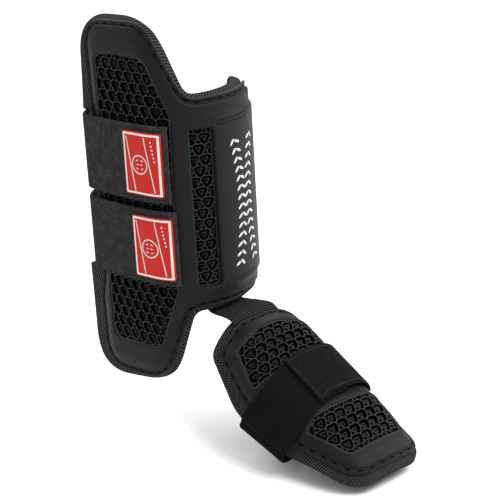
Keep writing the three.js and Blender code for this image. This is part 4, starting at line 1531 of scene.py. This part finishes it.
def foot_guard():
    corners = mirrored(FOOT_SHELL_HALF)
    upper = mirrored(FOOT_UPPER_HALF)
    lower = mirrored(FOOT_LOWER_HALF)
    body = shell("foot_shell_moulding", foot, corners, [upper, lower], [], foot_height,
                 [SHELL_FINISH, GROOVE_SHADE_FINISH], FOOT_GRID, np.ones_like)
    piece(body, "moulded_shell", "foot_shell")
    finishes = [MESH_FINISH, FOOT_BINDING_FINISH]
    pad = liner("foot_liner_pad", foot, mirrored(FOOT_LINER_HALF), finishes)
    piece(pad, "mesh_fabric", "foot_liner")
    for name, window in (("upper", upper), ("lower", lower)):
        edge = outline(window, 0.0, MEASURED)

        def depth(place):
            return pit_depth(FOOT_PITS, distance(place[None], edge)[0])

        lattice_piece(f"foot_lattice_{name}", foot, window, LATTICE_FACE, -1, depth)
    edge_stitches("foot_edge_stitches", foot, corners)
    strap = foot_strap(FOOT_ELASTIC_FINISH)
    piece(strap, "elastic", "foot_strap")
    cloth_sheet(strap)
    tab = foot_tab(TAB_FINISH)
    piece(tab, "strap_fabric", "foot_strap_tab")
    cloth_sheet(tab)
    half = FOOT_TAB["width"] / 2 - TAB_SEAM["side"]
    start = FOOT_TAB["start"] + TAB_SEAM["start"]
    end = FOOT_TAB["end"] - TAB_SEAM["end"]
    box = straight([(end, half), (start, half), (start, -half), (end, -half)])
    flat = np.column_stack([box[:, 0], strap_along(box[:, 0]) + box[:, 1]])
    face = foot_tab_out(box[:, 0]) + FOOT_TAB["thick"] / 2 - TAB_SEAM["sunk"]
    sewn = on_sheet(foot, flat, face, False)
    rows = stitches("foot_strap_tab_stitches", [sewn], PALE_THREAD_FINISH, TAB_STITCH)
    piece(rows, "strap_fabric")
    web = webbing(WEBBING_FINISH)
    piece(web, "elastic", "instep_webbing")
    cloth_sheet(web)


def camera():
    a = math.radians(VIEW_AZIMUTH)
    e = math.radians(VIEW_ELEVATION)
    back = Vector((math.sin(a) * math.cos(e), -math.cos(a) * math.cos(e), math.sin(e)))
    right = Vector((math.cos(a), math.sin(a), 0))
    up = back.cross(right)
    turn = Matrix.Rotation(math.radians(-VIEW_ROLL), 3, back)
    axes = Matrix((turn @ right, turn @ up, back)).transposed()
    data = bpy.data.cameras.new("photo camera")
    data.lens = VIEW_LENS
    data.sensor_width = SENSOR
    data.clip_end = VIEW_REACH
    obj = placed("photo camera", data)
    place = Vector(VIEW_TARGET) + back * VIEW_DISTANCE
    obj.matrix_world = Matrix.Translation(place) @ axes.to_4x4()
    bpy.context.scene.camera = obj


def soft_light(name, place, size, power, target):
    data = bpy.data.lights.new(name, "AREA")
    data.energy = power
    data.size = size
    obj = placed(name, data)
    obj.location = place
    obj.rotation_euler = (Vector(place) - Vector(target)).to_track_quat("Z", "Y").to_euler()


def studio():
    """A pale floor just under the guard, a white surround and large soft lights."""
    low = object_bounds()[0][2] - FLOOR_DROP
    mesh = bpy.data.meshes.new("studio_floor")
    mesh.from_pydata([(i * FLOOR_REACH, j * FLOOR_REACH, low) for i, j in QUAD], [], [(0, 1, 2, 3)])
    mesh.materials.append(plain_finish("pale floor", "f4f4f2", "f8f8f6", 0.7))
    floor = placed("studio_floor", mesh)
    floor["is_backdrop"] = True
    world = bpy.data.worlds.new("studio")
    world.use_nodes = True
    sky = world.node_tree.nodes["Background"]
    sky.inputs["Color"].default_value = (1, 1, 1, 1)
    sky.inputs["Strength"].default_value = SKY
    bpy.context.scene.world = world
    bpy.context.scene.view_settings.view_transform = "Standard"
    for light in LIGHTS:
        soft_light(*light)


def main():
    shin_guard()
    calf_straps()
    foot_guard()
    camera()
    studio()


main()
